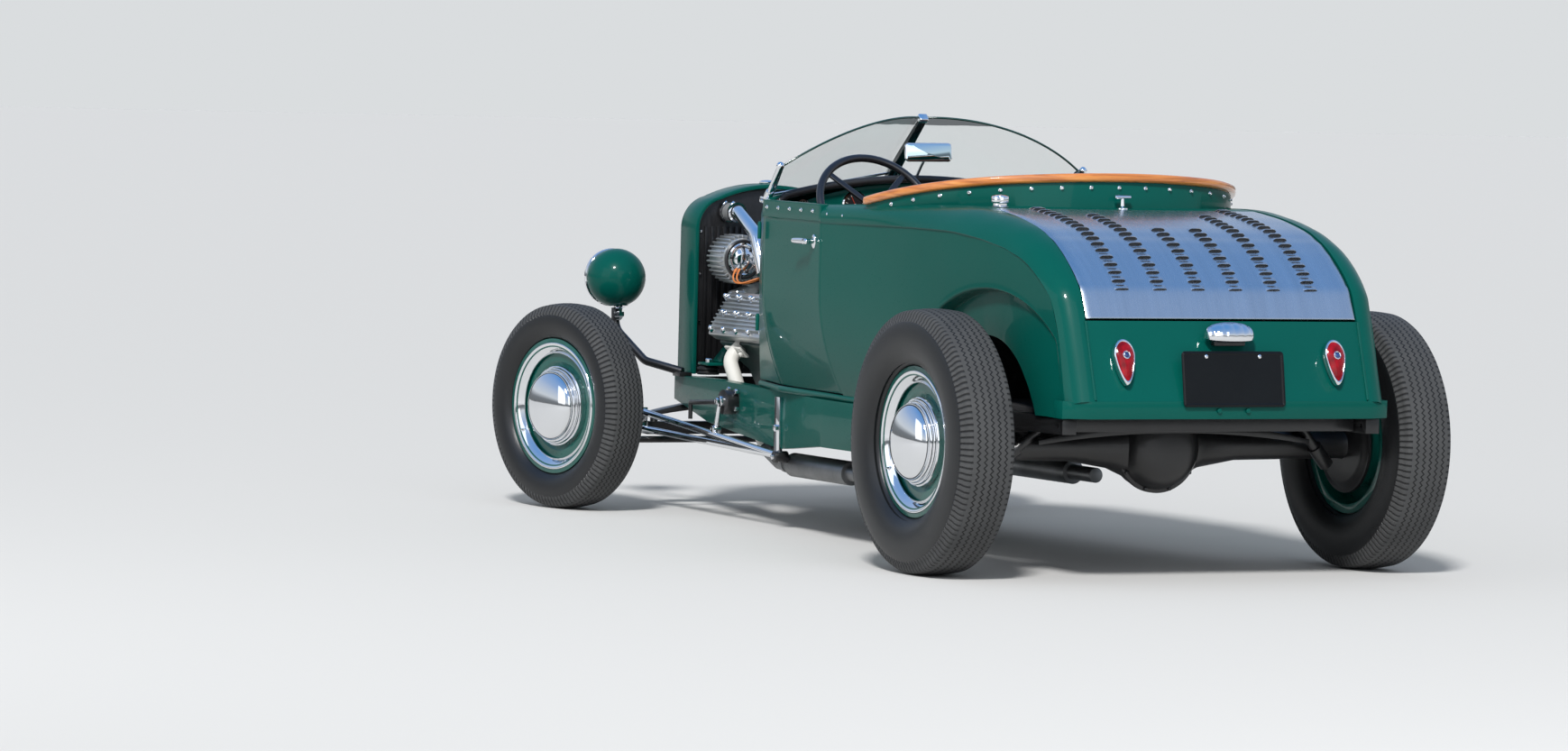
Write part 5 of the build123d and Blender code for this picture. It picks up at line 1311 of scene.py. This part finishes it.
cushion = sewn(stuffed("seat_cushion", "seat_cushion_padded", 0.010, 0.014), Vector((0.45, 0, 0.89)), 0.0075)
cushion_welt = welt(cushion, [ahead(x, y, 738) for x, y in ((1073, 475), (1073, -475), (607, -475), (607, 475))])
fitted(cushion, "chassis", "seat_leather", "seat_cushion")
fitted(cushion_welt, "chassis", "seat_leather")
backrest = sewn(stuffed("seat_back", "seat_back_padded", 0.010, 0.014), Vector((0.9, 0, 0.43)), 0.0075)
back_rake = radians(14)
back_up = Vector((-sin(back_rake), 0, cos(back_rake)))
back_face = Vector((cos(back_rake), 0, sin(back_rake)))
back_foot = ahead(545, 0, 735)
back_welt = welt(backrest, [back_foot + back_face * 0.052 + back_up * h + Vector((0, y, 0)) for h, y in (
    (0.008, 0.474), (0.008, -0.474), (0.322, -0.474), (0.322, 0.474))])
fitted(backrest, "chassis", "seat_leather", "seat_back")
fitted(back_welt, "chassis", "seat_leather")

# Dash: five gauges in chromed bezels, three switches and a glovebox lid on the painted panel, and a stuffed
# black roll along the cowl's rear edge above them
gauge_black = finish_material("gauge_face", (0.008, 0.008, 0.009), 0.35, coat=0.4, shade=0.2, coat_roughness=0.1)
gauge_white = finish_material("gauge_marks", (0.62, 0.60, 0.54), 0.5, shade=0.08)
needle_red = finish_material("needle_red", (0.55, 0.05, 0.02), 0.4, shade=0.1)
dials = []
for y, z, radius in ((400, 1030, 24), (214, 1040, 41), (96, 1046, 24), (28, 1048, 24), (-40, 1048, 24)):
    reach = radius / 1000
    middle = ahead(dash_x, y, z)
    dials.append(turned("gauge_bezel", [(-2, radius + 4), (5, radius + 4.5), (9, radius + 1), (8.5, radius - 2),
                                        (4, radius - 3.5)], middle, -forward, chrome, 48))
    dials.append(turned("gauge_face", [(3.5, radius - 1), (4, 0)], middle, -forward, gauge_black, 48))
    for k in range(11):
        turn = Matrix.Rotation(radians(-130 + k * 26), 3, "X")
        dials.append(block("gauge_mark", middle + turn @ Vector((-0.0044, 0, reach * 0.74)),
                           (0.0006, 0.0014, reach * 0.20), gauge_white, 0.0, turn))
    turn = Matrix.Rotation(radians(-70 + y * 0.2), 3, "X")
    dials.append(block("gauge_needle", middle + turn @ Vector((-0.0052, 0, reach * 0.28)),
                       (0.0006, 0.0013, reach * 0.80), needle_red, 0.0, turn))
    dials.append(turned("needle_boss", [(4.5, radius * 0.10), (6.2, radius * 0.08), (6.5, 0)], middle, -forward, chrome,
                        20))
for y in (-110, -150, -190):
    dials.append(turned("dash_switch", [(0, 8), (4, 8), (6, 5), (14, 5), (16, 9), (20, 8), (21, 0)],
                        ahead(dash_x, y, 1010), -forward, chrome, 24))
dials.append(plate_piece("glovebox_lid", ahead(dash_x - 1, -330, 1022), Matrix.Identity(3), 0.190, 0.084, 0.012,
                         0.005, body_green, 0.0015))
dials.append(turned("glovebox_knob", [(0, 6), (8, 5), (11, 9), (16, 8), (17, 0)], ahead(dash_x - 4, -330, 1054),
                    -forward, chrome, 24))
fitted(merged("dash_gauges", dials), "chassis", "chrome")
crown_radius = (546**2 + 78**2) / (2 * 78)
roll_line = [ahead(1566, y, 1132 - crown_radius + sqrt(crown_radius**2 - y**2) - 7 - max(0, abs(y) - 470) ** 2 / 45)
             for y in range(-512, 513, 32)]
dash_roll = tube("dash_roll", roll_line, 0.0125, finish_material(
    "roll_leather", (0.014, 0.014, 0.015), 0.5, coat=0.1, shade=0.2, grain=0.5, grain_scale=600), 8)
fitted(dash_roll, "chassis", "seat_leather")

# Steering wheel: a black moulded rim with finger grips behind it and four flat spokes, and a black horn
# button in a chromed ring. The column ends in a chromed collar
moulded = finish_material("moulded_black", (0.010, 0.010, 0.012), 0.30, coat=0.35, shade=0.15, grain=0.05,
                          grain_scale=200, coat_roughness=0.1)
wheel_hub = ahead(1195, 330, 1040)
column_rake = radians(35)
column_line = Vector((-cos(column_rake), 0, sin(column_rake)))
wheel_upward = column_line.cross(leftward).normalized()
if wheel_upward.z < 0:
    wheel_upward = -wheel_upward


def grip_place_at(u, v):
    around, about = u * 2 * pi, v * 2 * pi
    out = leftward * cos(around) + wheel_upward * sin(around)
    finger = 1 + 0.06 * cos(around * 36) * max(0.0, -cos(about))
    return (wheel_hub - column_line * 0.004 + out * (0.190 + 0.0125 * sin(about))
            + column_line * 0.0120 * finger * cos(about))


grip = laid("steering_grip", 216, 16, grip_place_at, moulded, angle=70)
edited(grip, weld(0.0001), faces_out)
wheel_parts = [grip]
for k in range(4):
    out = leftward * cos(radians(45 + k * 90)) + wheel_upward * sin(radians(45 + k * 90))
    turn = Matrix((out, column_line.cross(out), column_line)).transposed()
    wheel_parts.append(block("wheel_spoke", wheel_hub - column_line * 0.006 + out * 0.104, (0.172, 0.0195, 0.0085),
                             moulded, 0.0032, turn, 3))
wheel_parts.append(turned("wheel_boss", [(-36, 0), (-36, 22), (-20, 26), (-10, 34), (-2, 35), (1, 32), (2, 0)],
                          wheel_hub, column_line, moulded, 48))
wheel_parts.append(turned("horn_ring", [(0, 27), (4, 26.5), (6, 23), (4, 21)], wheel_hub, column_line, chrome, 48))
wheel_parts.append(turned("horn_button", [(2, 21), (6, 19), (9, 12), (10, 0)], wheel_hub, column_line, moulded, 48))
fitted(merged("steering_wheel_moulded", wheel_parts), "steering_wheel", "black_plastic", "steering_wheel")
fitted(turned("column_collar", [(-60, 19.5), (-60, 24), (-46, 24), (-43, 19.5)], wheel_hub, column_line, chrome, 40),
       "chassis", "chrome")

# Floor controls: a gear lever with a turned wooden knob in a rubber boot, a handbrake lever, and three pedals
# with ribbed rubber pads
soft_black = finish_material("soft_rubber_black", (0.012, 0.012, 0.013), 0.65, shade=0.2, grain=0.15, grain_scale=300)
controls = [tube("gear_lever", [ahead(1390, 0, 462), ahead(1388, 0, 560), ahead(1350, 10, 660), ahead(1322, 18, 742)],
                 0.0065, chrome, 6),
            turned("gear_knob", [(-4, 8), (4, 12), (14, 21), (26, 23.5), (38, 19), (45, 9), (46.5, 0)],
                   ahead(1322, 18, 740), Vector((-0.28, 0.08, 0.95)).normalized(), varnished, 32),
            turned("lever_boot", [(0, 60), (4, 58), (10, 44), (18, 46), (26, 32), (34, 34), (44, 18), (56, 10),
                                  (58, 0)], ahead(1390, 0, 466), upward, soft_black, 40),
            tube("handbrake", [ahead(1300, -95, 462), ahead(1290, -95, 560), ahead(1250, -95, 660),
                               ahead(1236, -95, 700)], 0.007, chrome, 6),
            tube("handbrake_grip", [ahead(1252, -95, 652), ahead(1240, -95, 686), ahead(1230, -95, 716)], 0.012,
                 soft_black, 6)]
for y, foot_y, width, height in ((388, 352, 0.050, 0.062), (272, 286, 0.050, 0.062), (192, 200, 0.036, 0.110)):
    pad_at = ahead(1735, y, 610)
    turn = Matrix.Rotation(radians(-38), 3, "Y")
    controls.append(plate_piece("pedal_pad", pad_at, turn, width, height, 0.010, 0.010, soft_black, 0.002))
    for k in range(5):
        controls.append(block("pedal_rib", pad_at + turn @ Vector((-0.006, 0, (k - 2) * height * 0.18)),
                              (0.004, width * 0.84, 0.005), soft_black, 0.001, turn))
    controls.append(tube("pedal_arm", [pad_at + Vector((0.004, 0, 0)), ahead(1805, (y + foot_y) / 2, 550),
                                       ahead(1850, foot_y, 466)], 0.006, chassis_black, 5))
fitted(merged("floor_controls", controls), "chassis", "black_plastic")

# Engine block: cast iron, brushed with the body's green and dulled by heat. It sits on two rubber mounts,
# each under a folded steel bracket that stands on the frame rail
engine_green = finish_material("engine_green", (0.008, 0.036, 0.030), 0.42, coat=0.25, shade=0.25, grain=0.25,
                               grain_scale=140, coat_roughness=0.25)
pressed("engine_block", "engine_block_painted", engine_green, "cast_metal", 0.010, 25)
mounts = []
for side in (1, -1):
    mounts.append(turned("mount_rubber", [(0, 0), (0, 36), (6, 38), (9, 32), (13, 30), (17, 36), (23, 36), (27, 28),
                                          (30, 0)], ahead(2545, side * 262, 448), upward, soft_black, 32))
    mounts.append(block("mount_bracket", ahead(2528, side * 240, 484), (0.085, 0.100, 0.010), body_green, 0.004))
    mounts.append(laid("mount_web", 2, 2, lambda u, v: ahead(
        2490 + u * 70 * (1 - v), side * (236 - v * 40), 488 + v * 92), body_green, thickness=0.008, edge=0.002))
    mounts.append(turned("mount_bolt", [(0, 0), (0, 13), (10, 13), (13, 10), (15, 0)], ahead(2545, side * 262, 489),
                         upward, chrome, 6))
fitted(merged("engine_mounts", mounts), "chassis", "cast_metal")

# Cylinder heads: cast aluminium with cooling fins along them, held down by rows of chromed acorn nuts that
# stand on bosses between the fins
cast_aluminium = finish_material("cast_aluminium", (0.52, 0.53, 0.53), 0.36, metallic=0.85, shade=0.10, grain=0.22,
                                 grain_scale=220)
acorn = merged("acorn_nut", [
    turned("nut_washer", [(0, 0), (0, 12.5), (2, 12.5), (2, 0)], Vector(), upward, chrome, 16),
    turned("nut_hexagon", [(2, 0), (2, 10.5), (10, 10.5), (10.5, 0)], Vector(), upward, chrome, 6),
    turned("nut_dome", [(10, 8.5), (15, 7.5), (18.5, 4.5), (19.5, 0)], Vector(), upward, chrome, 16)])


for side, name in both_sides:
    outward = Vector((0, side * 0.853, 0.522))
    downward = Vector((0, side * 0.522, -0.853))
    head_turn = Matrix((side * forward, downward, outward)).transposed()

    def on_head(x, y, z):
        return ahead(x, side * 225, 637) + downward * y / 1000 + outward * z / 1000
    castings = [block("head_casting", on_head(2210, 0, 20), (0.530, 0.165, 0.040), cast_aluminium, 0.007, head_turn, 3),
                block("head_step", on_head(2210, -4, 40), (0.512, 0.135, 0.014), cast_aluminium, 0.004, head_turn)]
    for k in range(9):
        castings.append(block("head_fin", on_head(2210, (k - 4) * 15, 48), (0.500, 0.0050, 0.016), cast_aluminium,
                              0.0016, head_turn))
    for row, (y, count) in enumerate(((-52, 6), (8, 5), (66, 6))):
        for i in range(count):
            spot = (1972 + (i + 0.5 * (row == 1)) * 95, y)
            height = 40 if y == 66 else 52
            foot = on_head(*spot, 36)
            castings.append(rod("nut_boss", foot, on_head(*spot, height), 0.0135, cast_aluminium, 20, 0.0015))
            castings.append(placed(acorn, Matrix.Translation(on_head(*spot, height)) @ head_turn.to_4x4()))
    piece = merged("cylinder_head_" + name + "_cast", castings)
    fitted(piece, "chassis", "bare_aluminium", *(["cylinder_heads"] if side == 1 else []))
bpy.data.objects.remove(acorn)

# Intake: a cast manifold with four runners a side carries two carburettors, each with a float bowl, a linkage
# and a chromed domed air cleaner with a gauze band
gauze = finish_material("gauze", (0.16, 0.16, 0.17), 0.5, metallic=0.8, shade=0.5, shade_scale=400, grain=0.6,
                        grain_scale=900)
carburation = [block("manifold", ahead(2200, 0, 778), (0.350, 0.100, 0.036), cast_aluminium, 0.012, None, 3)]
for i in range(4):
    for side in (1, -1):
        x = 2060 + i * 93
        carburation.append(rod("runner", ahead(x, 0, 782), ahead(x + (1.5 - i) * 12, side * 118, 738), 0.020,
                               cast_aluminium, 24, 0.003))
for x in (2110, 2290):
    centre = ahead(x, 0, 0)
    carburation += [
        block("carburettor_base", ahead(x, 0, 802), (0.100, 0.075, 0.014), cast_aluminium, 0.003),
        turned("carburettor_throat", [(806, 0), (806, 34), (822, 30), (846, 30), (852, 38), (872, 40), (878, 34),
                                      (884, 0)], centre, upward, cast_aluminium, 40),
        block("float_bowl", ahead(x + 36, 0, 842), (0.036, 0.058, 0.046), cast_aluminium, 0.010, None, 3),
        turned("cleaner_pan", [(882, 0), (882, 52), (886, 61), (893, 62), (896, 58)], centre, upward, chrome, 48),
        turned("cleaner_gauze", [(894, 55), (920, 55)], centre, upward, gauze, 48),
        turned("cleaner_dome", [(918, 58), (920, 62), (926, 61), (931, 52), (936, 34), (938.5, 12), (939.5, 0)], centre,
               upward, chrome, 48)]
carburation.append(rod("throttle_linkage", ahead(2080, 52, 812), ahead(2330, 52, 812), 0.003, chrome, 12))
carburation.append(tube("fuel_line", [ahead(2420, 60, 770), ahead(2400, 40, 850), ahead(2360, 25, 864),
                                      ahead(2320, 18, 862)], 0.0035, chrome, 4))
fitted(merged("intake_and_carburettors_cast", carburation), "chassis", "bare_aluminium", "intake_and_carburettors")

# Generator: a cast drum with thirty cooling fins, a chromed face plate toward the driver, a black band round
# it and three insulated wires. It stands on a cast bracket
wire_orange = finish_material("wire_orange", (0.62, 0.20, 0.05), 0.5, shade=0.1)
drum_middle = ahead(2507, 190, 833)
drum_parts = [rod("drum", ahead(2452, 190, 833), ahead(2562, 190, 833), 0.071, cast_aluminium, 64, 0.004),
              block("drum_bracket", ahead(2505, 120, 772), (0.058, 0.068, 0.090), cast_aluminium, 0.008)]
for k in range(30):
    turn = Matrix.Rotation(2 * pi * k / 30, 3, "X")
    drum_parts.append(block("drum_fin", drum_middle + turn @ Vector((0, 0, 0.0735)), (0.106, 0.0066, 0.017),
                            cast_aluminium, 0.0022, turn))
drum_parts.append(turned("drum_band", [(54, 66), (60, 65.5), (63, 62), (62, 56), (54, 55)], drum_middle, -forward,
                         chassis_black, 64))
drum_parts.append(turned("drum_face", [(54, 57), (61, 55), (63, 50), (60, 45), (61, 36), (67, 28), (70, 16), (72, 0)],
                         drum_middle, -forward, chrome, 64))
for k in range(3):
    spot = drum_middle + Matrix.Rotation(radians(40 + k * 120), 3, "X") @ Vector((-0.060, 0, 0.041))
    drum_parts.append(turned("face_screw", [(0, 0), (0, 6), (4, 6), (6, 3), (6, 0)], spot, -forward, chassis_black, 12))
drum_parts.append(turned("drum_pulley", [(55, 0), (55, 50), (60, 52), (66, 40), (72, 52), (77, 50), (77, 0)],
                         drum_middle, forward, chassis_black, 48))
for k, insulation in enumerate((wire_orange, wire_orange, soft_black)):
    drum_parts.append(tube("drum_wire", [
        drum_middle + Vector((-0.060, 0.022 - k * 0.012, -0.030)),
        drum_middle + Vector((-0.078, 0.050 - k * 0.012, -0.052 - k * 0.006)),
        drum_middle + Vector((-0.086, 0.036 - k * 0.018, -0.084)),
        ahead(2410, 150 - k * 14, 772), ahead(2350, 90 - k * 10, 806), ahead(2300, 44 - k * 4, 798),
        ahead(2270, 30, 792)], 0.0030, insulation, 4))
drum_parts.append(rod("wire_sleeve", ahead(2362, 72, 797), ahead(2336, 62, 800), 0.0085, soft_black, 20, 0.002))
fitted(merged("generator_finned", drum_parts), "chassis", "bare_aluminium", "generator")

# Water pumps: a cast housing on each side at the front of the block, held by two bolts, a steel crank
# pulley below them, and a red plug wire
wire_red = finish_material("wire_red", (0.50, 0.02, 0.02), 0.5, shade=0.1)
pump_parts = []
for side in (1, -1):
    pump_parts.append(turned("pump_body", [(0, 0), (0, 40), (5, 45), (18, 46), (40, 44), (60, 34), (66, 20), (68, 0)],
                             ahead(2477, side * 150, 700), forward, cast_aluminium, 48))
    pump_parts.append(block("pump_lobe", ahead(2495, side * 186, 706), (0.046, 0.060, 0.056), cast_aluminium, 0.018,
                            Matrix.Rotation(side * radians(-12), 3, "X"), 4))
    for y, z in ((196, 722), (196, 692)):
        pump_parts.append(turned("pump_bolt", [(0, 0), (0, 8.5), (7, 8.5), (9, 6), (9, 0)], ahead(2473, side * y, z),
                                 -forward, chrome, 6))
pump_parts.append(turned("crank_pulley", [(0, 0), (0, 78), (6, 80), (16, 64), (26, 80), (33, 78), (36, 30), (40, 0)],
                         ahead(2476, 0, 470), forward, chassis_black, 56))
pump_parts.append(tube("plug_wire", [ahead(2470, 205, 672), ahead(2440, 190, 690), ahead(2380, 170, 690),
                                     ahead(2300, 150, 700)], 0.0035, wire_red, 4))
fitted(merged("water_pumps_cast", pump_parts), "chassis", "bare_aluminium", "water_pumps")

# Water pipes: bent chromed tube from each head, joined to the radiator by a ribbed rubber hose with band
# clamps, each drawn up by a screw
ribs = [(0, 24)] + [(a + k * 11, r) for k in range(5) for a, r in ((3, 30.5), (7, 30.5), (8.5, 27.5), (12.5, 27.5))]
hose_grey = finish_material("hose_grey", (0.16, 0.165, 0.17), 0.5, shade=0.2, grain=0.2, grain_scale=300)
pressed("water_pipes", "water_pipes_chromed", chrome, "chrome", 0.001, 50)
hoses = []
for side in (1, -1):
    hoses.append(turned("ribbed_hose", ribs + [(62, 24)], ahead(2556, side * 165, 985), forward, hose_grey, 48, 30))
    for x in (2552, 2612):
        hoses.append(turned("hose_clamp", [(0, 26), (0, 33.5), (10, 33.5), (10, 26)], ahead(x, side * 165, 985),
                            forward, chrome, 40))
        hoses.append(rod("clamp_screw", ahead(x + 5, side * 188, 1008), ahead(x + 5, side * 176, 1020), 0.005, chrome,
                         12))
fitted(merged("radiator_hoses", hoses), "chassis", "chrome")

# Exhaust: a white-coated header elbow with a bolted flange on each side, then a plain aluminised pipe and a
# short silencer that hang under the frame rail
header_white = finish_material("header_white", (0.72, 0.71, 0.67), 0.55, shade=0.06, grain=0.2, grain_scale=160)
aluminised = finish_material("aluminised_steel", (0.20, 0.205, 0.21), 0.42, metallic=0.9, shade=0.3, grain=0.15,
                             grain_scale=90)
pipes = pressed("exhaust", "exhaust_pipes", header_white, "white_coating", 0.002, 40)
pipes.data.materials.append(aluminised)
for face in pipes.data.polygons:
    face.material_index = int(face.center.z < 0.315)
flanges = []
for side in (1, -1):
    along = Vector((0, side * 0.69, -0.72))
    turn = Matrix((forward, along.cross(forward), along)).transposed()
    flanges.append(block("header_flange", ahead(2330, side * 262, 535), (0.120, 0.046, 0.010), header_white, 0.004,
                         turn))
    for dx in (-46, 46):
        spot = ahead(2330 + dx, side * 262, 535)
        flanges.append(rod("flange_bolt", spot, spot + along * 0.016, 0.008, header_white, 6, 0.001))
    for x in (1380, 1560):
        flanges.append(turned("pipe_clamp", [(0, 24), (0, 28), (18, 28), (18, 24)], ahead(x + 90, side * 392, 212),
                              forward, aluminised, 32))
fitted(merged("exhaust_flanges", flanges), "chassis", "white_coating")

# Radiator: a black core of upright tubes between two tanks, in a painted shell. Thin upright bars fill the
# shell's front
core_black = finish_material("core_black", (0.006, 0.006, 0.007), 0.42, coat=0.15, shade=0.3, grain=0.2,
                             grain_scale=240, coat_roughness=0.3)
pressed("radiator_core", "radiator_core_black", core_black, "black_paint")
pressed("radiator_shell", "radiator_shell_painted", body_green, "body_paint", 0.003, flat=False)
bars = []
for k in range(-11, 12):
    y = k * 23
    top = 1064 - 32 * (y / 206) ** 2 if abs(y) <= 206 else 930 + 100 * sqrt(max(0, 1 - ((abs(y) - 206) / 66) ** 2))
    bars.append(rod("grille_bar", ahead(2721, y, 484), ahead(2721, y, top - 3), 0.0032, body_green, 12, 0.0))
for z in (640, 800, 930):
    bars.append(rod("grille_tie", ahead(2716, -270, z), ahead(2716, 270, z), 0.0022, chassis_black, 8, 0.0))
fitted(merged("radiator_grille", bars), "chassis", "body_paint")
tank_parts = [turned("filler_cap", [(0, 0), (0, 26), (6, 30), (14, 30), (18, 24), (20, 10), (21, 0)],
                     ahead(2668, 0, 1072), upward, chrome, 40)]
for side in (1, -1):
    for z in (470, 620, 780, 920):
        tank_parts.append(turned("shell_rivet", [(0, 0), (0, 5), (2, 4), (3, 0)], ahead(2627, side * 262, z), -forward,
                                 chrome, 12))
fitted(merged("radiator_fittings", tank_parts), "chassis", "chrome")

# Headlights: spun steel balls painted green, with a chromed rim, a clear domed lens over a chromed bowl,
# and a chromed ball nut that clamps each one on its forged bar
for side, name in both_sides:
    middle = ahead(2884, side * 450, 753)
    ball = [(-98 * cos(radians(a)), 98 * sin(radians(a))) for a in range(0, 91, 6)]
    ball += [(18, 96.5), (36, 93.5), (40, 90)]
    shell = turned("lamp_ball", ball, middle, forward, body_green, 96)
    rim = turned("lamp_rim", [(36, 93), (38, 96.5), (46, 97), (53, 94.5), (56, 89), (54, 85), (48, 85), (36, 93)],
                 middle, forward, chrome, 96, 50)
    bowl = turned("lamp_bowl", [(50, 86), (30, 78), (5, 58), (-15, 30), (-22, 0)], middle, forward, chrome, 64, 60)
    bulb = turned("lamp_bulb", [(-20, 0), (-20, 8), (0, 8), (6, 12), (18, 11), (26, 0)], middle, forward, hose_grey, 24,
                  60)
    nut = turned("lamp_nut", [(0, 0), (0, 20), (6, 21), (10, 14), (20, 12), (22, 19.5), (36, 19.5), (39, 15), (44, 12),
                              (50, 6), (52, 0)], ahead(2868, side * 447, 661), Vector((-0.1, 0, -1)).normalized(),
                 chrome, 6, 30)
    collar_nut = turned("lamp_socket", [(0, 0), (0, 30), (4, 33), (8, 24), (12, 18), (12, 0)],
                        ahead(2868, side * 447, 663), Vector((-0.1, 0, -1)).normalized(), chrome, 40)
    fitted(merged("headlight_" + name + "_painted", [shell, rim, bowl, bulb, nut, collar_nut]), "chassis",
           "body_paint", *(["headlights"] if side == 1 else []))
    lens = turned("headlight_lens_" + name, [(50, 85.5), (58, 76), (66, 55), (70, 28), (71, 0), (68, 0), (67, 28),
                                             (63, 55), (55, 75), (48, 84), (50, 85.5)], middle, forward, clear, 72, 60)
    fitted(lens, "chassis", "clear_glass")

# Front linkage: chromed hairpin radius rods, each bolted to a chromed plate that hangs from the frame, with
# a lever damper and its drop arm ahead of the door
pressed("radius_rods", "radius_rods_chromed", chrome, "chrome", angle=40)
# Columns: name, start ahead and across and height, end the same, radius, material, sides, edge
linkage_rows = (
    ("rod_eye", (1592, 428, 238), (1592, 476, 238), 0.019, chassis_black, 32, 0.003),
    ("rod_bolt", (1592, 420, 238), (1592, 484, 238), 0.008, chrome, 6, 0.001),
    ("plate_bolt", (1592, 464, 330), (1592, 476, 330), 0.011, chrome, 6, 0.001),
    ("damper_hub", (2058, 432, 388), (2058, 452, 388), 0.017, chrome, 32, 0.003),
    ("damper_nut", (2058, 450, 388), (2058, 462, 388), 0.011, chrome, 6, 0.001),
    ("damper_arm", (2058, 446, 388), (2084, 446, 296), 0.0085, chrome, 16, 0.002),
    ("arm_end", (2084, 432, 296), (2084, 462, 296), 0.012, chrome, 24, 0.002),
    ("frame_bolt", (2024, 398, 420), (2024, 412, 420), 0.009, chrome, 6, 0.001),
    ("frame_bolt", (2024, 398, 366), (2024, 412, 366), 0.009, chrome, 6, 0.001),
    ("frame_bolt", (2085, 396, 424), (2085, 408, 424), 0.009, chrome, 6, 0.001),
)
linkage = [rod(name, ahead(x, side * y, z), ahead(to_x, side * to_y, to_z), *rest)
           for side in (1, -1) for name, (x, y, z), (to_x, to_y, to_z), *rest in linkage_rows]
fitted(merged("linkage_bolts", linkage), "chassis", "chrome")

# Rear axle: a cast housing with a round belly and bolted cover, tapered steel tubes out to the backing
# plates, all satin black
axle_middle = ahead(0, 0, 375)
belly = turned("axle_belly", [(-132, 0), (-130, 45), (-122, 78), (-104, 103), (-78, 119), (-45, 128), (-43, 138),
                              (-28, 138), (-26, 128), (20, 126), (60, 112), (95, 82), (120, 60), (134, 52), (134, 0)],
               axle_middle, forward, chassis_black, 72)
tubes = turned("axle_tubes", [(-700, 0), (-700, 60), (-690, 62), (-672, 46), (-640, 40), (-280, 44), (-150, 66),
                              (-70, 100), (70, 100), (150, 66), (280, 44), (640, 40), (672, 46), (690, 62), (700, 60),
                              (700, 0)], axle_middle, leftward, chassis_black, 64)
axle_parts = [belly, tubes]
for side in (1, -1):
    axle_parts.append(turned("backing_plate", [(0, 0), (0, 110), (4, 126), (10, 132), (12, 144), (20, 146), (22, 130),
                                               (22, 0)], ahead(0, side * 655, 375), side * leftward, chassis_black, 72))
for k in range(10):
    turn = Matrix.Rotation(2 * pi * (k + 0.5) / 10, 3, "X")
    foot = axle_middle + turn @ Vector((-0.043, 0, 0.1315))
    axle_parts.append(rod("cover_bolt", foot, foot + Vector((-0.009, 0, 0)), 0.0060, chassis_black, 6, 0.001))
fitted(merged("rear_axle_housing", axle_parts), "chassis", "black_paint", "rear_axle")

# Plain pieces: what has no section of its own shows its solid as it is, cut or pressed plain, in the paint
# that its slot names
plain_looks = {"body_paint": body_green, "wheel_paint": body_green, "chrome": chrome, "bare_aluminium": brushed,
               "black_paint": chassis_black}
slot_of_node = {row["node"]: row["material_slot"] for row in frame["record"]["subparts"]}
for node, solid in frame["nodes"].items():
    if not solid.hide_render and slot_of_node[node] in plain_looks:
        for slot in solid.material_slots:
            slot.material = plain_looks[slot_of_node[node]]
